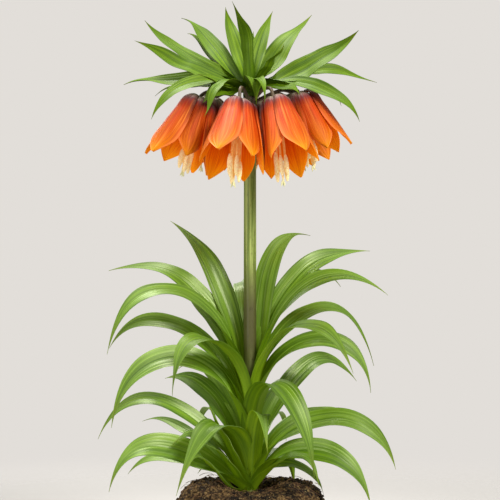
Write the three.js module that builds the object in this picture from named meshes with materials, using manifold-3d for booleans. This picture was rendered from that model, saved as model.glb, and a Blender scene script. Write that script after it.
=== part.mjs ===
// Crown imperial fritillary, standing in its own root ball of soil.
// Millimetres, +Z up. The origin is the centre of the root ball's flat underside, on the stem's axis.
// Azimuths are in degrees about +Z: 0 is +X (right), 90 is +Y (back), 180 is left and 270 is the front.
import * as THREE from "three";
import { mergeVertices } from "three/addons/utils/BufferGeometryUtils.js";
import Module from "manifold-3d";

const wasm = await Module();
wasm.setup();

// ---- Driving dimensions -------------------------------------------------------------------------
const SEAT_GAP = 0.3; // clearance where one piece rests on another

const SOIL_TOP = 76; // soil level round the stem
const STEM_FOOT = 62; // top of the bulb, which carries the stem
const STEM_TOP = 461; // flat top of the stem, under the flower stalks
const STEM_RADIUS_FOOT = 6.6;
const STEM_RADIUS_TOP = 6.2;
const KNOB_HEIGHT = 12; // knob on the stem's top, which carries the flower stalks
const KNOB_RADIUS = 7.4;
const CORE_RADIUS = 7; // short axis that the crown leaves grow from
const CORE_HEIGHT = 15;

const BLADE_RIB = 1.3; // thickness of a leaf along its midrib
const BLADE_EDGE = 0.8; // and at its margins

const BELL_RING_RADIUS = 52; // the tops of the bells hang in a ring of this radius round the stem
const STALK_RADIUS = 1.9;
const STALK_ARCH_TOP = 478.5; // height to which every stalk arches before it comes down on its bell
const TEPALS = 6;
const TEPAL_THICKNESS = 1.0;
const TEPAL_LAYER = 1.3; // outer tepals stand out from the bell's line by this, and inner ones in
const STAMENS = 6;

const radians = THREE.MathUtils.degToRad;

// ---- Materials ----------------------------------------------------------------------------------
const finish = (color, roughness) => new THREE.MeshStandardMaterial({ color, roughness, metalness: 0 });
const soilFinish = finish(0x4a3022, 0.95);
const bulbFinish = finish(0xc9b489, 0.6);
const leafFinish = finish(0x5f9130, 0.42);
const crownFinish = finish(0x5c9a1f, 0.42);
const stalkFinish = finish(0x5a4a3c, 0.55);
const tepalFinish = finish(0xe8621a, 0.5);
const stamenFinish = finish(0xe9d29a, 0.6);

// ---- Solids -------------------------------------------------------------------------------------
// A closed three.js geometry as a manifold-3d solid. Triangles that shrink to a line at a pole go.
function solidOf(geometry) {
  const bare = geometry.clone();
  bare.deleteAttribute("normal");
  bare.deleteAttribute("uv");
  const merged = mergeVertices(bare, 1e-3);
  const index = merged.index.array;
  const triVerts = [];
  for (let i = 0; i < index.length; i += 3) {
    const [a, b, c] = [index[i], index[i + 1], index[i + 2]];
    if (a !== b && b !== c && c !== a) triVerts.push(a, b, c);
  }
  const vertProperties = merged.attributes.position.array;
  return new wasm.Manifold(new wasm.Mesh({ numProp: 3, vertProperties, triVerts: new Uint32Array(triVerts) }));
}

function geometryOf(solid) {
  const mesh = solid.getMesh();
  const geometry = new THREE.BufferGeometry();
  geometry.setAttribute("position", new THREE.BufferAttribute(mesh.vertProperties, 3));
  geometry.setIndex(new THREE.BufferAttribute(mesh.triVerts, 1));
  geometry.computeVertexNormals();
  return geometry;
}

// One body from many: hollows that the fusing seals are filled, and loose scraps are dropped.
function fuse(geometries) {
  const whole = geometries.map(solidOf).reduce((sum, next) => sum.add(next));
  return whole.decompose().reduce((largest, body) => (body.volume() > largest.volume() ? body : largest));
}

// A body of revolution about +Z, from [radius, height] points that start and end on the axis, upwards.
function turned(profile, sides) {
  const points = profile.map(([radius, height]) => new THREE.Vector2(radius, height));
  return new THREE.LatheGeometry(points, sides).rotateX(Math.PI / 2);
}

// The unit normals to the right of a line of [x, y] points, followed from its first point.
function rightNormals(line) {
  return line.map((_, i) => {
    const [x0, y0] = line[Math.max(0, i - 1)];
    const [x1, y1] = line[Math.min(line.length - 1, i + 1)];
    const length = Math.hypot(x1 - x0, y1 - y0);
    return [(y1 - y0) / length, (x0 - x1) / length];
  });
}

// A closed skin over rings of equal length. The first half of each ring is the upper face of a blade,
// from its left edge to its right, and the second half is the lower face, from right to left. Both
// faces of a blade are split along the same diagonals, so that they never cross.
function skinOver(rings) {
  const count = rings[0].length;
  const half = count / 2;
  const corners = [];
  for (let i = 0; i + 1 < rings.length; i++) {
    for (let k = 0; k < count; k++) {
      const next = (k + 1) % count;
      const [a, b, c, d] = [rings[i][k], rings[i][next], rings[i + 1][k], rings[i + 1][next]];
      corners.push(...(k < half ? [a, b, d, a, d, c] : [a, b, c, b, d, c]));
    }
  }
  const [first, last] = [rings[0], rings.at(-1)];
  for (let k = 0; k + 1 < half; k++) {
    const under = count - 1 - k;
    corners.push(first[k], first[under], first[under - 1], first[k], first[under - 1], first[k + 1]);
    corners.push(last[k], last[k + 1], last[under - 1], last[k], last[under - 1], last[under]);
  }
  const outwards = signedVolume(corners) > 0;
  return new THREE.BufferGeometry().setFromPoints(outwards ? corners : turnedInsideOut(corners));
}

function signedVolume(corners) {
  let volume = 0;
  for (let i = 0; i < corners.length; i += 3) {
    const across = new THREE.Vector3().crossVectors(corners[i + 1], corners[i + 2]);
    volume += corners[i].dot(across) / 6;
  }
  return volume;
}

function turnedInsideOut(corners) {
  const swap = [0, 1, -1];
  return corners.map((_, i) => corners[i + swap[i % 3]]);
}

// ---- Leaves -------------------------------------------------------------------------------------
// Each leaf arches in an upright plane at its azimuth. A row gives the azimuth, the height of its root
// on the stem, then [reach, height] at one third, at two thirds and at the tip, the blade's full width,
// its roll about its own midrib in degrees, and how far the tip sways sideways.
const LOWER_LEAVES = [
  // upper whorl
  [148, 186, [25, 256], [54, 313], [97, 350], 24, -30, 0],
  [170, 182, [37, 255], [84, 298], [146, 299], 23, -42, 0],
  [200, 172, [41, 256], [101, 281], [147, 219], 22, -38, 0],
  [155, 160, [28, 229], [54, 263], [82, 287], 22, -30, 0],
  [100, 184, [24, 252], [60, 286], [112, 266], 22, -20, -6],
  [44, 182, [29, 250], [78, 292], [134, 281], 18, 30, 0],
  [48, 186, [17, 259], [33, 317], [85, 335], 24, 25, -8],
  [28, 182, [29, 261], [77, 308], [142, 319], 24, 42, 0],
  [342, 172, [28, 251], [78, 293], [141, 276], 21, 42, 0],
  // second whorl
  [176, 150, [38, 219], [92, 250], [142, 221], 20, -50, 0],
  [228, 165, [36, 221], [82, 231], [104, 181], 24, -16, -6],
  [12, 168, [36, 240], [89, 260], [129, 202], 18, 42, 0],
  [318, 158, [31, 227], [80, 248], [127, 203], 22, 24, 5],
  [350, 150, [37, 219], [90, 228], [121, 179], 21, 50, 0],
  [82, 158, [30, 222], [80, 250], [130, 214], 20, 10, 4],
  // third whorl
  [197, 126, [40, 201], [100, 211], [141, 147], 26, -58, 0],
  [165, 100, [26, 151], [52, 184], [88, 190], 28, -30, 4],
  [35, 112, [41, 175], [88, 207], [137, 182], 21, 42, 0],
  [296, 116, [28, 185], [71, 173], [87, 102], 30, 4, 26],
  [62, 104, [39, 159], [85, 172], [112, 140], 18, 30, 4],
  [135, 112, [30, 172], [66, 202], [100, 196], 19, -30, 6],
  // fourth whorl
  [180, 80, [44, 141], [103, 171], [152, 131], 19, -48, 0],
  [150, 80, [46, 116], [83, 140], [127, 142], 13, -34, 4],
  [285, 82, [20, 136], [42, 160], [65, 125], 22, -6, 0],
  [345, 84, [43, 141], [105, 152], [147, 106], 24, 48, 0],
  [22, 82, [38, 140], [84, 155], [118, 141], 17, 40, 4],
  [72, 82, [40, 138], [98, 150], [140, 112], 20, 14, 4],
  [118, 82, [38, 140], [94, 152], [136, 116], 20, -14, -4],
  [215, 80, [23, 118], [38, 146], [49, 168], 24, -24, 0],
  // lowest whorl, rising from the soil
  [208, 80, [27, 110], [53, 135], [86, 130], 23, -24, 0],
  [245, 80, [23, 133], [58, 146], [86, 84], 28, -6, -38],
  [198, 80, [46, 110], [104, 128], [144, 85], 28, -58, 0],
  [170, 80, [46, 103], [88, 112], [125, 93], 16, -40, 3],
  [125, 80, [32, 102], [63, 103], [90, 86], 15, -20, 4],
  [338, 80, [42, 120], [95, 116], [126, 72], 25, 50, 0],
  [312, 80, [37, 109], [71, 122], [93, 94], 14, 20, 5],
  [352, 80, [26, 106], [54, 103], [73, 80], 13, 36, 0],
  [60, 80, [36, 108], [70, 112], [88, 66], 20, -20, -3],
  [92, 80, [38, 106], [86, 110], [118, 82], 18, -8, 4],
  [212, 80, [29, 90], [52, 115], [70, 108], 17, -20, 0],
];

const CROWN_LEAVES = [
  // steep inner leaves
  [118, 484, [17, 508], [37, 541], [50, 570], 16, -20, 2],
  [252, 482, [9, 507], [19, 535], [56, 560], 16, -20, 0],
  [85, 484, [14, 502], [26, 523], [42, 545], 12, 6, 0],
  [62, 484, [11, 508], [26, 536], [50, 566], 16, 20, 0],
  [38, 483, [23, 503], [48, 533], [81, 563], 25, 32, 0],
  [140, 483, [29, 505], [60, 538], [97, 562], 20, -30, -4],
  [130, 481, [35, 501], [64, 528], [92, 546], 14, -20, 8],
  [310, 481, [23, 494], [38, 508], [51, 520], 16, 20, 0],
  // spreading leaves
  [165, 481, [41, 502], [80, 526], [111, 554], 18, -42, 0],
  [192, 480, [43, 493], [77, 508], [116, 526], 23, -46, 0],
  [350, 480, [40, 492], [74, 510], [109, 537], 30, 50, 0],
  [100, 481, [34, 494], [68, 504], [104, 502], 18, -8, 4],
  // level and drooping outer leaves
  [183, 479, [38, 489], [85, 490], [126, 484], 18, -46, 4],
  [213, 479, [47, 487], [87, 475], [113, 445], 15, -40, 0],
  [18, 479, [48, 498], [92, 502], [136, 492], 15, 44, -3],
  [335, 479, [46, 486], [89, 473], [117, 444], 16, 44, 0],
  [282, 479, [26, 487], [53, 484], [68, 460], 10, 6, 0],
  [238, 479, [44, 485], [67, 470], [83, 447], 9, -16, 0],
  [225, 478, [25, 479], [48, 485], [71, 490], 12, -20, 0],
  [172, 479, [34, 486], [66, 487], [98, 476], 13, -40, -6],
  [60, 479, [36, 487], [76, 490], [112, 476], 16, 14, 4],
  [113, 479, [36, 487], [76, 490], [112, 478], 16, -14, -4],
  [30, 479, [40, 488], [80, 490], [112, 470], 15, 20, 4],
  // short low leaves between the bells
  [277, 480, [20, 486], [40, 486], [50, 461], 18, 0, 0],
  [222, 477, [22, 478], [44, 474], [62, 462], 17, -14, 0],
  [317, 479, [22, 484], [44, 484], [62, 474], 16, 14, 0],
];

const LEAF_STATIONS = [0, 0.18, 0.38, 0.58, 0.79, 1];
const ROOT_REACH = 4; // a leaf's root is sunk in the stem, this far from its axis
const ROOT_WIDTH_SHARE = 0.5; // of the full width
const WIDEST_AT = 0.48; // share of the leaf's length at which it is widest
const ROLLED_AT = 0.45; // share of the length at which it has its whole roll
const TIP_WIDTH_SHARE = 0.05;
const TIP_THICKNESS_SHARE = 0.6;
const ROOT_FOLD = 38; // degrees that each half of the blade folds up where it clasps the stem
const BLADE_FOLD = 12; // and from the widest place on
const EDGE_WAVE = 1.2; // the margins rise and fall by this much
const EDGE_WAVES = 1.6; // waves along one leaf

// The cubic curve through four [reach, height] points, at equal steps of its parameter.
function cubicThrough(...points) {
  const handle = (weights) => {
    const sum = (axis) => weights.reduce((total, weight, i) => total + weight * points[i][axis], 0) / 6;
    return new THREE.Vector2(sum(0), sum(1));
  };
  const [start, end] = [new THREE.Vector2(...points[0]), new THREE.Vector2(...points[3])];
  return new THREE.CubicBezierCurve(start, handle([-5, 18, -9, 2]), handle([2, -9, 18, -5]), end);
}

// A lance-shaped blade: narrow at its clasping root, widest below the middle and drawn out to a point.
function leafWidthShare(t) {
  if (t < WIDEST_AT) return THREE.MathUtils.lerp(ROOT_WIDTH_SHARE, 1, Math.sin((Math.PI / 2) * (t / WIDEST_AT)));
  const beyond = (t - WIDEST_AT) / (1 - WIDEST_AT);
  return Math.max(TIP_WIDTH_SHARE, (1 - beyond * beyond) ** 1.1);
}

function leafGeometry([azimuth, root, third, twoThirds, tip, width, roll, sway], index) {
  const midrib = cubicThrough([ROOT_REACH, root], third, twoThirds, tip);
  const outward = new THREE.Vector3(Math.cos(radians(azimuth)), Math.sin(radians(azimuth)), 0);
  const sideways = new THREE.Vector3(-outward.y, outward.x, 0);
  const rings = LEAF_STATIONS.map((t) => {
    const { x: reach, y: height } = midrib.getPoint(t);
    const slope = midrib.getTangent(t);
    const centre = outward.clone().multiplyScalar(reach).addScaledVector(sideways, sway * t * t).setZ(height);
    const drift = (2 * sway * t) / midrib.getLength();
    const along = outward.clone().multiplyScalar(slope.x).addScaledVector(sideways, drift).setZ(slope.y).normalize();
    const across = sideways.clone().addScaledVector(along, -sideways.dot(along)).normalize();
    across.applyAxisAngle(along, radians(roll) * THREE.MathUtils.smoothstep(t, 0, ROLLED_AT));
    const upper = new THREE.Vector3().crossVectors(along, across);

    const halfWidth = (width / 2) * leafWidthShare(t);
    const fold = radians(THREE.MathUtils.lerp(ROOT_FOLD, BLADE_FOLD, Math.min(1, t / WIDEST_AT)));
    const wave = EDGE_WAVE * Math.sin(2 * Math.PI * EDGE_WAVES * t + index) * Math.min(1, halfWidth / 6);
    const skin = (t < 1 ? 1 : TIP_THICKNESS_SHARE) / Math.cos(fold);
    const pointAt = (side, depth) => {
      const lift = Math.abs(side) * halfWidth * Math.sin(fold) + side * wave - depth * skin;
      return centre.clone().addScaledVector(across, side * halfWidth * Math.cos(fold)).addScaledVector(upper, lift);
    };
    const upperFace = [pointAt(-1, 0), pointAt(0, 0), pointAt(1, 0)];
    const lowerFace = [pointAt(1, BLADE_EDGE), pointAt(0, BLADE_RIB), pointAt(-1, BLADE_EDGE)];
    return [...upperFace, ...lowerFace];
  });
  return skinOver(rings);
}

// The stem, slightly thicker at its foot, with its whorls of leaves fused into it.
function leafyStem() {
  const foot = STEM_FOOT + SEAT_GAP;
  const profile = [
    [0, foot],
    [STEM_RADIUS_FOOT, foot],
    [STEM_RADIUS_FOOT, SOIL_TOP],
    [STEM_RADIUS_TOP, STEM_TOP],
    [0, STEM_TOP],
  ];
  return fuse([turned(profile, 10), ...LOWER_LEAVES.map(leafGeometry)]);
}

// The tuft over the flowers: leaves fused to the short end of the axis.
function crownLeaves() {
  const foot = STEM_TOP + SEAT_GAP + KNOB_HEIGHT + SEAT_GAP;
  const profile = [
    [0, foot],
    [CORE_RADIUS, foot],
    [CORE_RADIUS, foot + 0.6 * CORE_HEIGHT],
    [0.5 * CORE_RADIUS, foot + CORE_HEIGHT],
    [0, foot + CORE_HEIGHT],
  ];
  return fuse([turned(profile, 10), ...CROWN_LEAVES.map(leafGeometry)]);
}

// ---- Flowers ------------------------------------------------------------------------------------
// Each bell: its azimuth round the stem, the height of its top, how far it leans outwards from hanging
// straight down, how far its tepals are turned about its own axis, and the sizes of its tepals and of
// its stamens against the largest.
const BELLS = [
  { azimuth: 194, top: 468, lean: 22, turn: 38, size: 0.98, stamens: 0.92 },
  { azimuth: 258, top: 464, lean: 23, turn: -10, size: 1, stamens: 1 },
  { azimuth: 297, top: 466, lean: 20, turn: 3, size: 1, stamens: 1 },
  { azimuth: 340, top: 472, lean: 20, turn: 4, size: 0.92, stamens: 0.9 },
  { azimuth: 34, top: 473, lean: 21, turn: 26, size: 0.95, stamens: 0.88 },
  { azimuth: 87, top: 474, lean: 23, turn: -4, size: 1, stamens: 0.9 },
  { azimuth: 140, top: 473, lean: 20, turn: 12, size: 0.95, stamens: 0.88 },
];

// Azimuths of the upright planes through the stem's axis at which a bell presses against the next one,
// in the order of the bells.
const BELL_WALLS = [226, 280, 319, 367, 420, 473, 527];
const WALL_SOFTNESS = 5; // tepals start to bend this far before the wall
const WALL_CLEARANCE = { outer: 0.9, inner: 2.6 }; // the middle of a tepal stays this far off the wall

// A tepal's middle line: radius from the bell's axis, depth below the bell's top, and half width.
// It rises from the stalk in a rounded hump, falls, and flares to its point.
const TEPAL_LINE = [
  [2.6, 1.2, 1.9],
  [8.2, -3.0, 4.4],
  [14.4, 0.4, 7.8],
  [20.4, 17, 11.8],
  [26.2, 36, 14.4],
  [31.2, 54, 12.0],
  [35.6, 69, 0.9],
];
const INNER_TEPAL_DROOP = 3; // inner tepals flare less at the point, by this much

const BELL_DISC = [
  [0, -4.6],
  [5.2, -4.6],
  [6.4, -2.2],
  [3.4, 0.6],
  [0, 0.6],
];
const BELL_DISC_FLOOR = BELL_DISC[0][1];
const BELL_DISC_TOP = BELL_DISC.at(-1)[1];

// From the hanging bell's own frame to the frame that turns with its azimuth.
function hangingFrame({ top, lean }) {
  const frame = new THREE.Object3D();
  frame.position.set(BELL_RING_RADIUS, 0, top);
  frame.rotation.y = -radians(lean);
  frame.updateMatrix();
  return frame.matrix;
}

// Bends a point of a bell back from the walls on its two sides, smoothly, so that it never crosses.
function bentFromWalls(point, walls, frame, clearance) {
  const place = point.clone().applyMatrix4(frame);
  for (const wall of walls) {
    const inwards = new THREE.Vector3(Math.sin(Math.abs(wall)), -Math.sign(wall) * Math.cos(wall), 0);
    const distance = place.dot(inwards);
    if (distance > WALL_SOFTNESS) continue;
    const room = WALL_SOFTNESS - clearance;
    const bent = clearance + room * Math.exp((distance - WALL_SOFTNESS) / room);
    place.addScaledVector(inwards, bent - distance);
  }
  return place.applyMatrix4(frame.clone().invert());
}

function tepalGeometry(index, { turn, size }, walls, frame) {
  const outer = index % 2 === 0;
  const middle = radians(turn) + (2 * Math.PI * index) / TEPALS;
  const clearance = outer ? WALL_CLEARANCE.outer : WALL_CLEARANCE.inner;
  const line = TEPAL_LINE.map((row) => row.map((part) => size * part));
  const normals = rightNormals(line.map(([radius, depth]) => [radius, -depth]));
  const rings = line.map(([radius, depth, halfWidth], i) => {
    const share = i / (line.length - 1);
    const layer = (outer ? 1 : -1) * TEPAL_LAYER * Math.min(1, 3 * share);
    const flare = outer ? 0 : -INNER_TEPAL_DROOP * share ** 3;
    const [normalOut, normalUp] = normals[i].map((part) => -part);
    const thickness = TEPAL_THICKNESS * (share < 1 ? 1 : 0.7);
    const face = (offset) =>
      [-1, 0, 1].map((side) => {
        const angle = middle + (side * halfWidth) / radius;
        const reach = radius + flare + layer * normalOut;
        const place = new THREE.Vector3(reach * Math.cos(angle), reach * Math.sin(angle), layer * normalUp - depth);
        const bent = bentFromWalls(place, walls, frame, clearance);
        bent.x += offset * normalOut * Math.cos(angle);
        bent.y += offset * normalOut * Math.sin(angle);
        bent.z += offset * normalUp;
        return bent;
      });
    return [...face(thickness / 2), ...face(-thickness / 2).reverse()];
  });
  return skinOver(rings);
}

// Six tepals in two layers, fused to the small disc that hangs on the stalk. Its axis is local -Z.
function bellSolid(bell, wallBefore, wallAfter) {
  const walls = [wallBefore, wallAfter].map((azimuth) => radians(azimuth - bell.azimuth));
  const frame = hangingFrame(bell);
  const tepals = Array.from({ length: TEPALS }, (_, k) => tepalGeometry(k, bell, walls, frame));
  return fuse([turned(BELL_DISC, 8), ...tepals]);
}

// Rows of section half-diagonal, distance from the bell's axis, and depth below the bell's top.
const STAMEN_LINE = [
  [0.9, 1.8, 6],
  [0.9, 6.0, 56],
  [2.5, 6.4, 60],
  [1.6, 7.2, 73],
];
const PISTIL_LINE = [
  [1.4, 0, 6],
  [1.0, 0.4, 76],
  [1.8, 0.6, 80],
  [0.9, 0.7, 84],
];
const STAMEN_DROPS = [0, 3, -2, 2, -3, 1]; // no two stamens hang equally deep
const STAMEN_PLUMB = 0.17; // they hang more upright than the bell: this far to the stem per unit of depth

function rodGeometry(line, azimuth) {
  const rings = line.map(([section, reach, depth]) => {
    const centre = new THREE.Vector3(reach * Math.cos(azimuth), reach * Math.sin(azimuth), -depth);
    centre.x -= STAMEN_PLUMB * (depth - line[0][2]);
    return [0, 1, 2, 3].map((corner) => {
      const angle = azimuth + (corner * Math.PI) / 2;
      return centre.clone().add(new THREE.Vector3(section * Math.cos(angle), section * Math.sin(angle), 0));
    });
  });
  return skinOver(rings);
}

// Six stamens and the pistil, rooted in one small disc under the bell's own.
function stamenSolid({ stamens: size }) {
  const top = BELL_DISC_FLOOR - SEAT_GAP;
  const profile = [
    [0, top - 2.4],
    [3.2, top - 2.4],
    [3.2, top],
    [0, top],
  ];
  const hung = (line, drop) =>
    line.map(([section, reach, depth], i) => [section, reach, i > 0 ? size * depth + drop : depth]);
  const stamens = STAMEN_DROPS.map((drop, k) =>
    rodGeometry(hung(STAMEN_LINE, drop), (2 * Math.PI * (k + 0.5)) / STAMENS),
  );
  return fuse([turned(profile, 6), ...stamens, rodGeometry(hung(PISTIL_LINE, 0), 0)]);
}

// The knob on the stem's top, with a stalk to each bell that rises, arches over and comes down on it.
function flowerStalks() {
  const foot = STEM_TOP + SEAT_GAP;
  const profile = [
    [0, foot],
    [STEM_RADIUS_TOP, foot],
    [KNOB_RADIUS, foot + 0.4 * KNOB_HEIGHT],
    [CORE_RADIUS, foot + KNOB_HEIGHT],
    [0, foot + KNOB_HEIGHT],
  ];
  const section = new THREE.Shape().absarc(0, 0, STALK_RADIUS, 0, 2 * Math.PI);
  const stalks = BELLS.map(({ azimuth, top, lean }) => {
    const pointAt = (reach, height) => {
      const turn = radians(azimuth);
      return new THREE.Vector3(reach * Math.cos(turn), reach * Math.sin(turn), height);
    };
    const alongBellAxis = (rise) =>
      pointAt(BELL_RING_RADIUS - rise * Math.sin(radians(lean)), top + rise * Math.cos(radians(lean)));
    const root = foot + 0.45 * KNOB_HEIGHT;
    const path = new THREE.CatmullRomCurve3([
      pointAt(3, root),
      pointAt(18, THREE.MathUtils.lerp(root, STALK_ARCH_TOP, 0.6)),
      pointAt(35, STALK_ARCH_TOP),
      pointAt(45, STALK_ARCH_TOP - 2),
      alongBellAxis(BELL_DISC_TOP + 5),
      alongBellAxis(BELL_DISC_TOP + SEAT_GAP),
    ]);
    return new THREE.ExtrudeGeometry(section, { steps: 6, curveSegments: 3, bevelEnabled: false, extrudePath: path });
  });
  return fuse([turned(profile, 10), ...stalks]);
}

// ---- Root ball ----------------------------------------------------------------------------------
const SOIL_PROFILE = [
  [0, 0],
  [66, 0],
  [77, 7],
  [83, 22],
  [84, 38],
  [81, 54],
  [74, 68],
  [62, 77],
  [48, 80],
  [34, 79],
  [22, 77.5],
  [12, SOIL_TOP],
  [0, SOIL_TOP],
];
const BULB_PROFILE = [
  [0, 9],
  [16, 9],
  [29, 15],
  [34, 26],
  [33, 37],
  [26, 47],
  [14, 54],
  [9, 58],
  [7.5, STEM_FOOT],
  [0, STEM_FOOT],
];
const SOIL_SIDES = 26;
const BULB_SIDES = 16;
const HUMMOCK = 8; // the soil is heaped this much higher on the left and on the right of the stem
const CLOD = 1.6; // relief of the crumbs and clods

// How far a point of the soil's skin moves outwards and upwards.
function soilRelief(radius, height, angle) {
  const ring = THREE.MathUtils.smoothstep(radius, 14, 40) * (1 - THREE.MathUtils.smoothstep(radius, 62, 84));
  const hummock = HUMMOCK * Math.abs(Math.cos(angle)) * ring;
  const clod =
    CLOD * Math.sin(7 * angle + 0.11 * height) * Math.sin(0.21 * height + 3 * angle) +
    0.8 * CLOD * Math.sin(11 * angle - 0.17 * radius + 1.3) * Math.cos(0.16 * radius + 0.13 * height);
  return { outwards: clod, upwards: hummock + 0.6 * clod };
}

function rootBall() {
  const ball = turned(SOIL_PROFILE, SOIL_SIDES);
  const places = ball.attributes.position;
  const place = new THREE.Vector3();
  for (let i = 0; i < places.count; i++) {
    place.fromBufferAttribute(places, i);
    const radius = Math.hypot(place.x, place.y);
    if (radius < 13 || place.z < 1) continue;
    const angle = Math.atan2(place.y, place.x);
    const { outwards, upwards } = soilRelief(radius, place.z, angle);
    place.x += outwards * Math.cos(angle);
    place.y += outwards * Math.sin(angle);
    place.z += upwards;
    places.setXYZ(i, place.x, place.y, place.z);
  }
  const normals = rightNormals(BULB_PROFILE);
  const cavity = BULB_PROFILE.map(([radius, height], i) => {
    const [out, up] = normals[i].map((part) => part * 1.4 * SEAT_GAP);
    return [radius > 0 ? radius + out : 0, height + up];
  });
  const holeRadius = STEM_RADIUS_FOOT + 1.4 * SEAT_GAP;
  const hole = [
    [0, STEM_FOOT - 2],
    [holeRadius, STEM_FOOT - 2],
    [holeRadius, SOIL_TOP + 20],
    [0, SOIL_TOP + 20],
  ];
  return solidOf(ball).subtract(solidOf(turned(cavity, BULB_SIDES))).subtract(solidOf(turned(hole, BULB_SIDES)));
}

// ---- Assembly -----------------------------------------------------------------------------------
const plant = new THREE.Group();

function addMesh(parent, name, geometry, material) {
  const mesh = new THREE.Mesh(geometry, material);
  mesh.name = name;
  parent.add(mesh);
}

addMesh(plant, "root_ball", geometryOf(rootBall()), soilFinish);
addMesh(plant, "bulb", geometryOf(solidOf(turned(BULB_PROFILE, BULB_SIDES))), bulbFinish);
addMesh(plant, "leafy_stem", geometryOf(leafyStem()), leafFinish);
addMesh(plant, "flower_stalks", geometryOf(flowerStalks()), stalkFinish);
addMesh(plant, "crown_leaves", geometryOf(crownLeaves()), crownFinish);

BELLS.forEach((bell, k) => {
  const wallBefore = k > 0 ? BELL_WALLS[k - 1] : BELL_WALLS.at(-1) - 360;
  const wallAfter = BELL_WALLS[k];
  const azimuth = wallAfter - bell.azimuth > 180 ? bell.azimuth + 360 : bell.azimuth;

  const around = new THREE.Group();
  around.rotation.z = radians(azimuth);
  plant.add(around);
  const hanger = new THREE.Group();
  hangingFrame(bell).decompose(hanger.position, hanger.quaternion, hanger.scale);
  around.add(hanger);
  addMesh(hanger, `bell_${k + 1}`, geometryOf(bellSolid({ ...bell, azimuth }, wallBefore, wallAfter)), tepalFinish);
  addMesh(hanger, `stamens_${k + 1}`, geometryOf(stamenSolid(bell)), stamenFinish);
});

export default plant;
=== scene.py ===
"""Looks of a crown imperial fritillary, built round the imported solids.

Lengths in the tables are millimetres, +Z is up, the stem's axis is x = y = 0 and the underside of the soil is
z = 0. Azimuths are degrees about +Z: 0 is right, 90 is back, 180 is left and 270 is the front.
"""

from __future__ import annotations

import logging
import math
from dataclasses import dataclass, field
from enum import Enum
from typing import Mapping, Sequence, Union

import bmesh
import bpy
import numpy as np
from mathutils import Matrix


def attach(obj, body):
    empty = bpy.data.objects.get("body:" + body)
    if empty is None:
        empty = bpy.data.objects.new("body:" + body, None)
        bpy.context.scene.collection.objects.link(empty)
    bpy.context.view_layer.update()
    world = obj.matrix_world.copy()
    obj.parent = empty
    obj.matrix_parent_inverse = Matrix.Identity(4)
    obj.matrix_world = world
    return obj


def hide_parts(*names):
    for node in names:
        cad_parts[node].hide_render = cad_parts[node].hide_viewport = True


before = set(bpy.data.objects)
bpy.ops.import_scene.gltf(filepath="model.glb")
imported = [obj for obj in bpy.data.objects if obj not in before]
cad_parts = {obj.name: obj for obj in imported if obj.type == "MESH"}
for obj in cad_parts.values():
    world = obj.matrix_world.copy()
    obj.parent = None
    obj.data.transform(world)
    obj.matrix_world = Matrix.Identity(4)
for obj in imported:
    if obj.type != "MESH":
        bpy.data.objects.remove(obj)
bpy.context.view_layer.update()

Array = np.ndarray
Numbers = Union[Array, float]
Colour = tuple[float, float, float]
Material = bpy.types.Material
Thing = bpy.types.Object
log = logging.getLogger("crown_imperial")
MM = 0.001  # in metres
MERGE_DISTANCE = 1e-7  # in metres
SHARP_ANGLE = 62.0  # in degrees; a sharper edge than this stays sharp
HASH_PRIMES = (73856093, 19349663, 83492791)  # they scatter a lattice's corners over the random values
HASH_VALUES = 8192  # a power of two


# ---- Numbers and curves ---------------------------------------------------------------------------
def smoothstep(value: Array, low: float, high: float) -> Array:
    """A smooth rise from 0 at low to 1 at high: 3x^2 - 2x^3 of the clipped share."""
    share = np.clip((np.asarray(value, float) - low) / (high - low), 0.0, 1.0)
    return share * share * (3.0 - 2.0 * share)


def blend(start: Numbers, end: Numbers, share: Array) -> Array:
    """start at share 0, end at share 1, and a straight mix between."""
    return start + (end - start) * share


def unit(vectors: Array) -> Array:
    """Vectors scaled to length 1 along the last axis."""
    return vectors / np.maximum(np.linalg.norm(vectors, axis=-1, keepdims=True), 1e-12)


def smooth_rows(table: Array, knots: Array, at: Array) -> Array:
    """A smooth curve through the rows of a table.

    Between two knots it is the cubic with the rows' own values and slopes, where a slope is the mean of the
    straight slopes on its two sides, each weighted by the length of the other side.

    Args:
        table: rows of values, shape (n, k).
        knots: rising places of the rows, shape (n,).
        at: places to read the curve at, any shape.

    Returns:
        Values of shape at.shape + (k,).
    """
    steps = np.diff(knots)[:, None]
    straight = np.diff(table, axis=0) / steps
    inner = (steps[1:] * straight[:-1] + steps[:-1] * straight[1:]) / (steps[1:] + steps[:-1])
    slopes = np.concatenate([straight[:1], inner, straight[-1:]])
    low = np.clip(np.searchsorted(knots, at, side="right") - 1, 0, len(knots) - 2)
    width = steps[low]
    f = ((at - knots[low]) / steps[low, 0])[..., None]
    return (
        (2 * f**3 - 3 * f**2 + 1) * table[low]
        + (f**3 - 2 * f**2 + f) * width * slopes[low]
        + (3 * f**2 - 2 * f**3) * table[low + 1]
        + (f**3 - f**2) * width * slopes[low + 1]
    )


def lengths_along(points: Array) -> Array:
    """Distance from the first point to each point, along the straight pieces between them."""
    return np.concatenate([[0.0], np.cumsum(np.linalg.norm(np.diff(points, axis=0), axis=1))])


def angles_round(sides: int) -> Array:
    """Even angles round a circle, the first at 0."""
    return np.linspace(0.0, math.tau, sides, endpoint=False)


def around_z(radius: Array, height: Array, angle: Array) -> Array:
    """Points at a radius, a height and an angle about +Z, which spread over one shape."""
    radius, height, angle = np.broadcast_arrays(radius, height, angle)
    return np.stack([radius * np.cos(angle), radius * np.sin(angle), height], axis=-1)


def turned_about_z(points: Array, degrees: float) -> Array:
    """Points turned about the stem's axis.

    Args:
        points: shape (..., 3).
        degrees: how far, anticlockwise from above.

    Returns:
        The turned points, in the same shape.
    """
    c, s = math.cos(math.radians(degrees)), math.sin(math.radians(degrees))
    x, y, z = points[..., 0], points[..., 1], points[..., 2]
    return np.stack([c * x - s * y, s * x + c * y, z], axis=-1)


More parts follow.
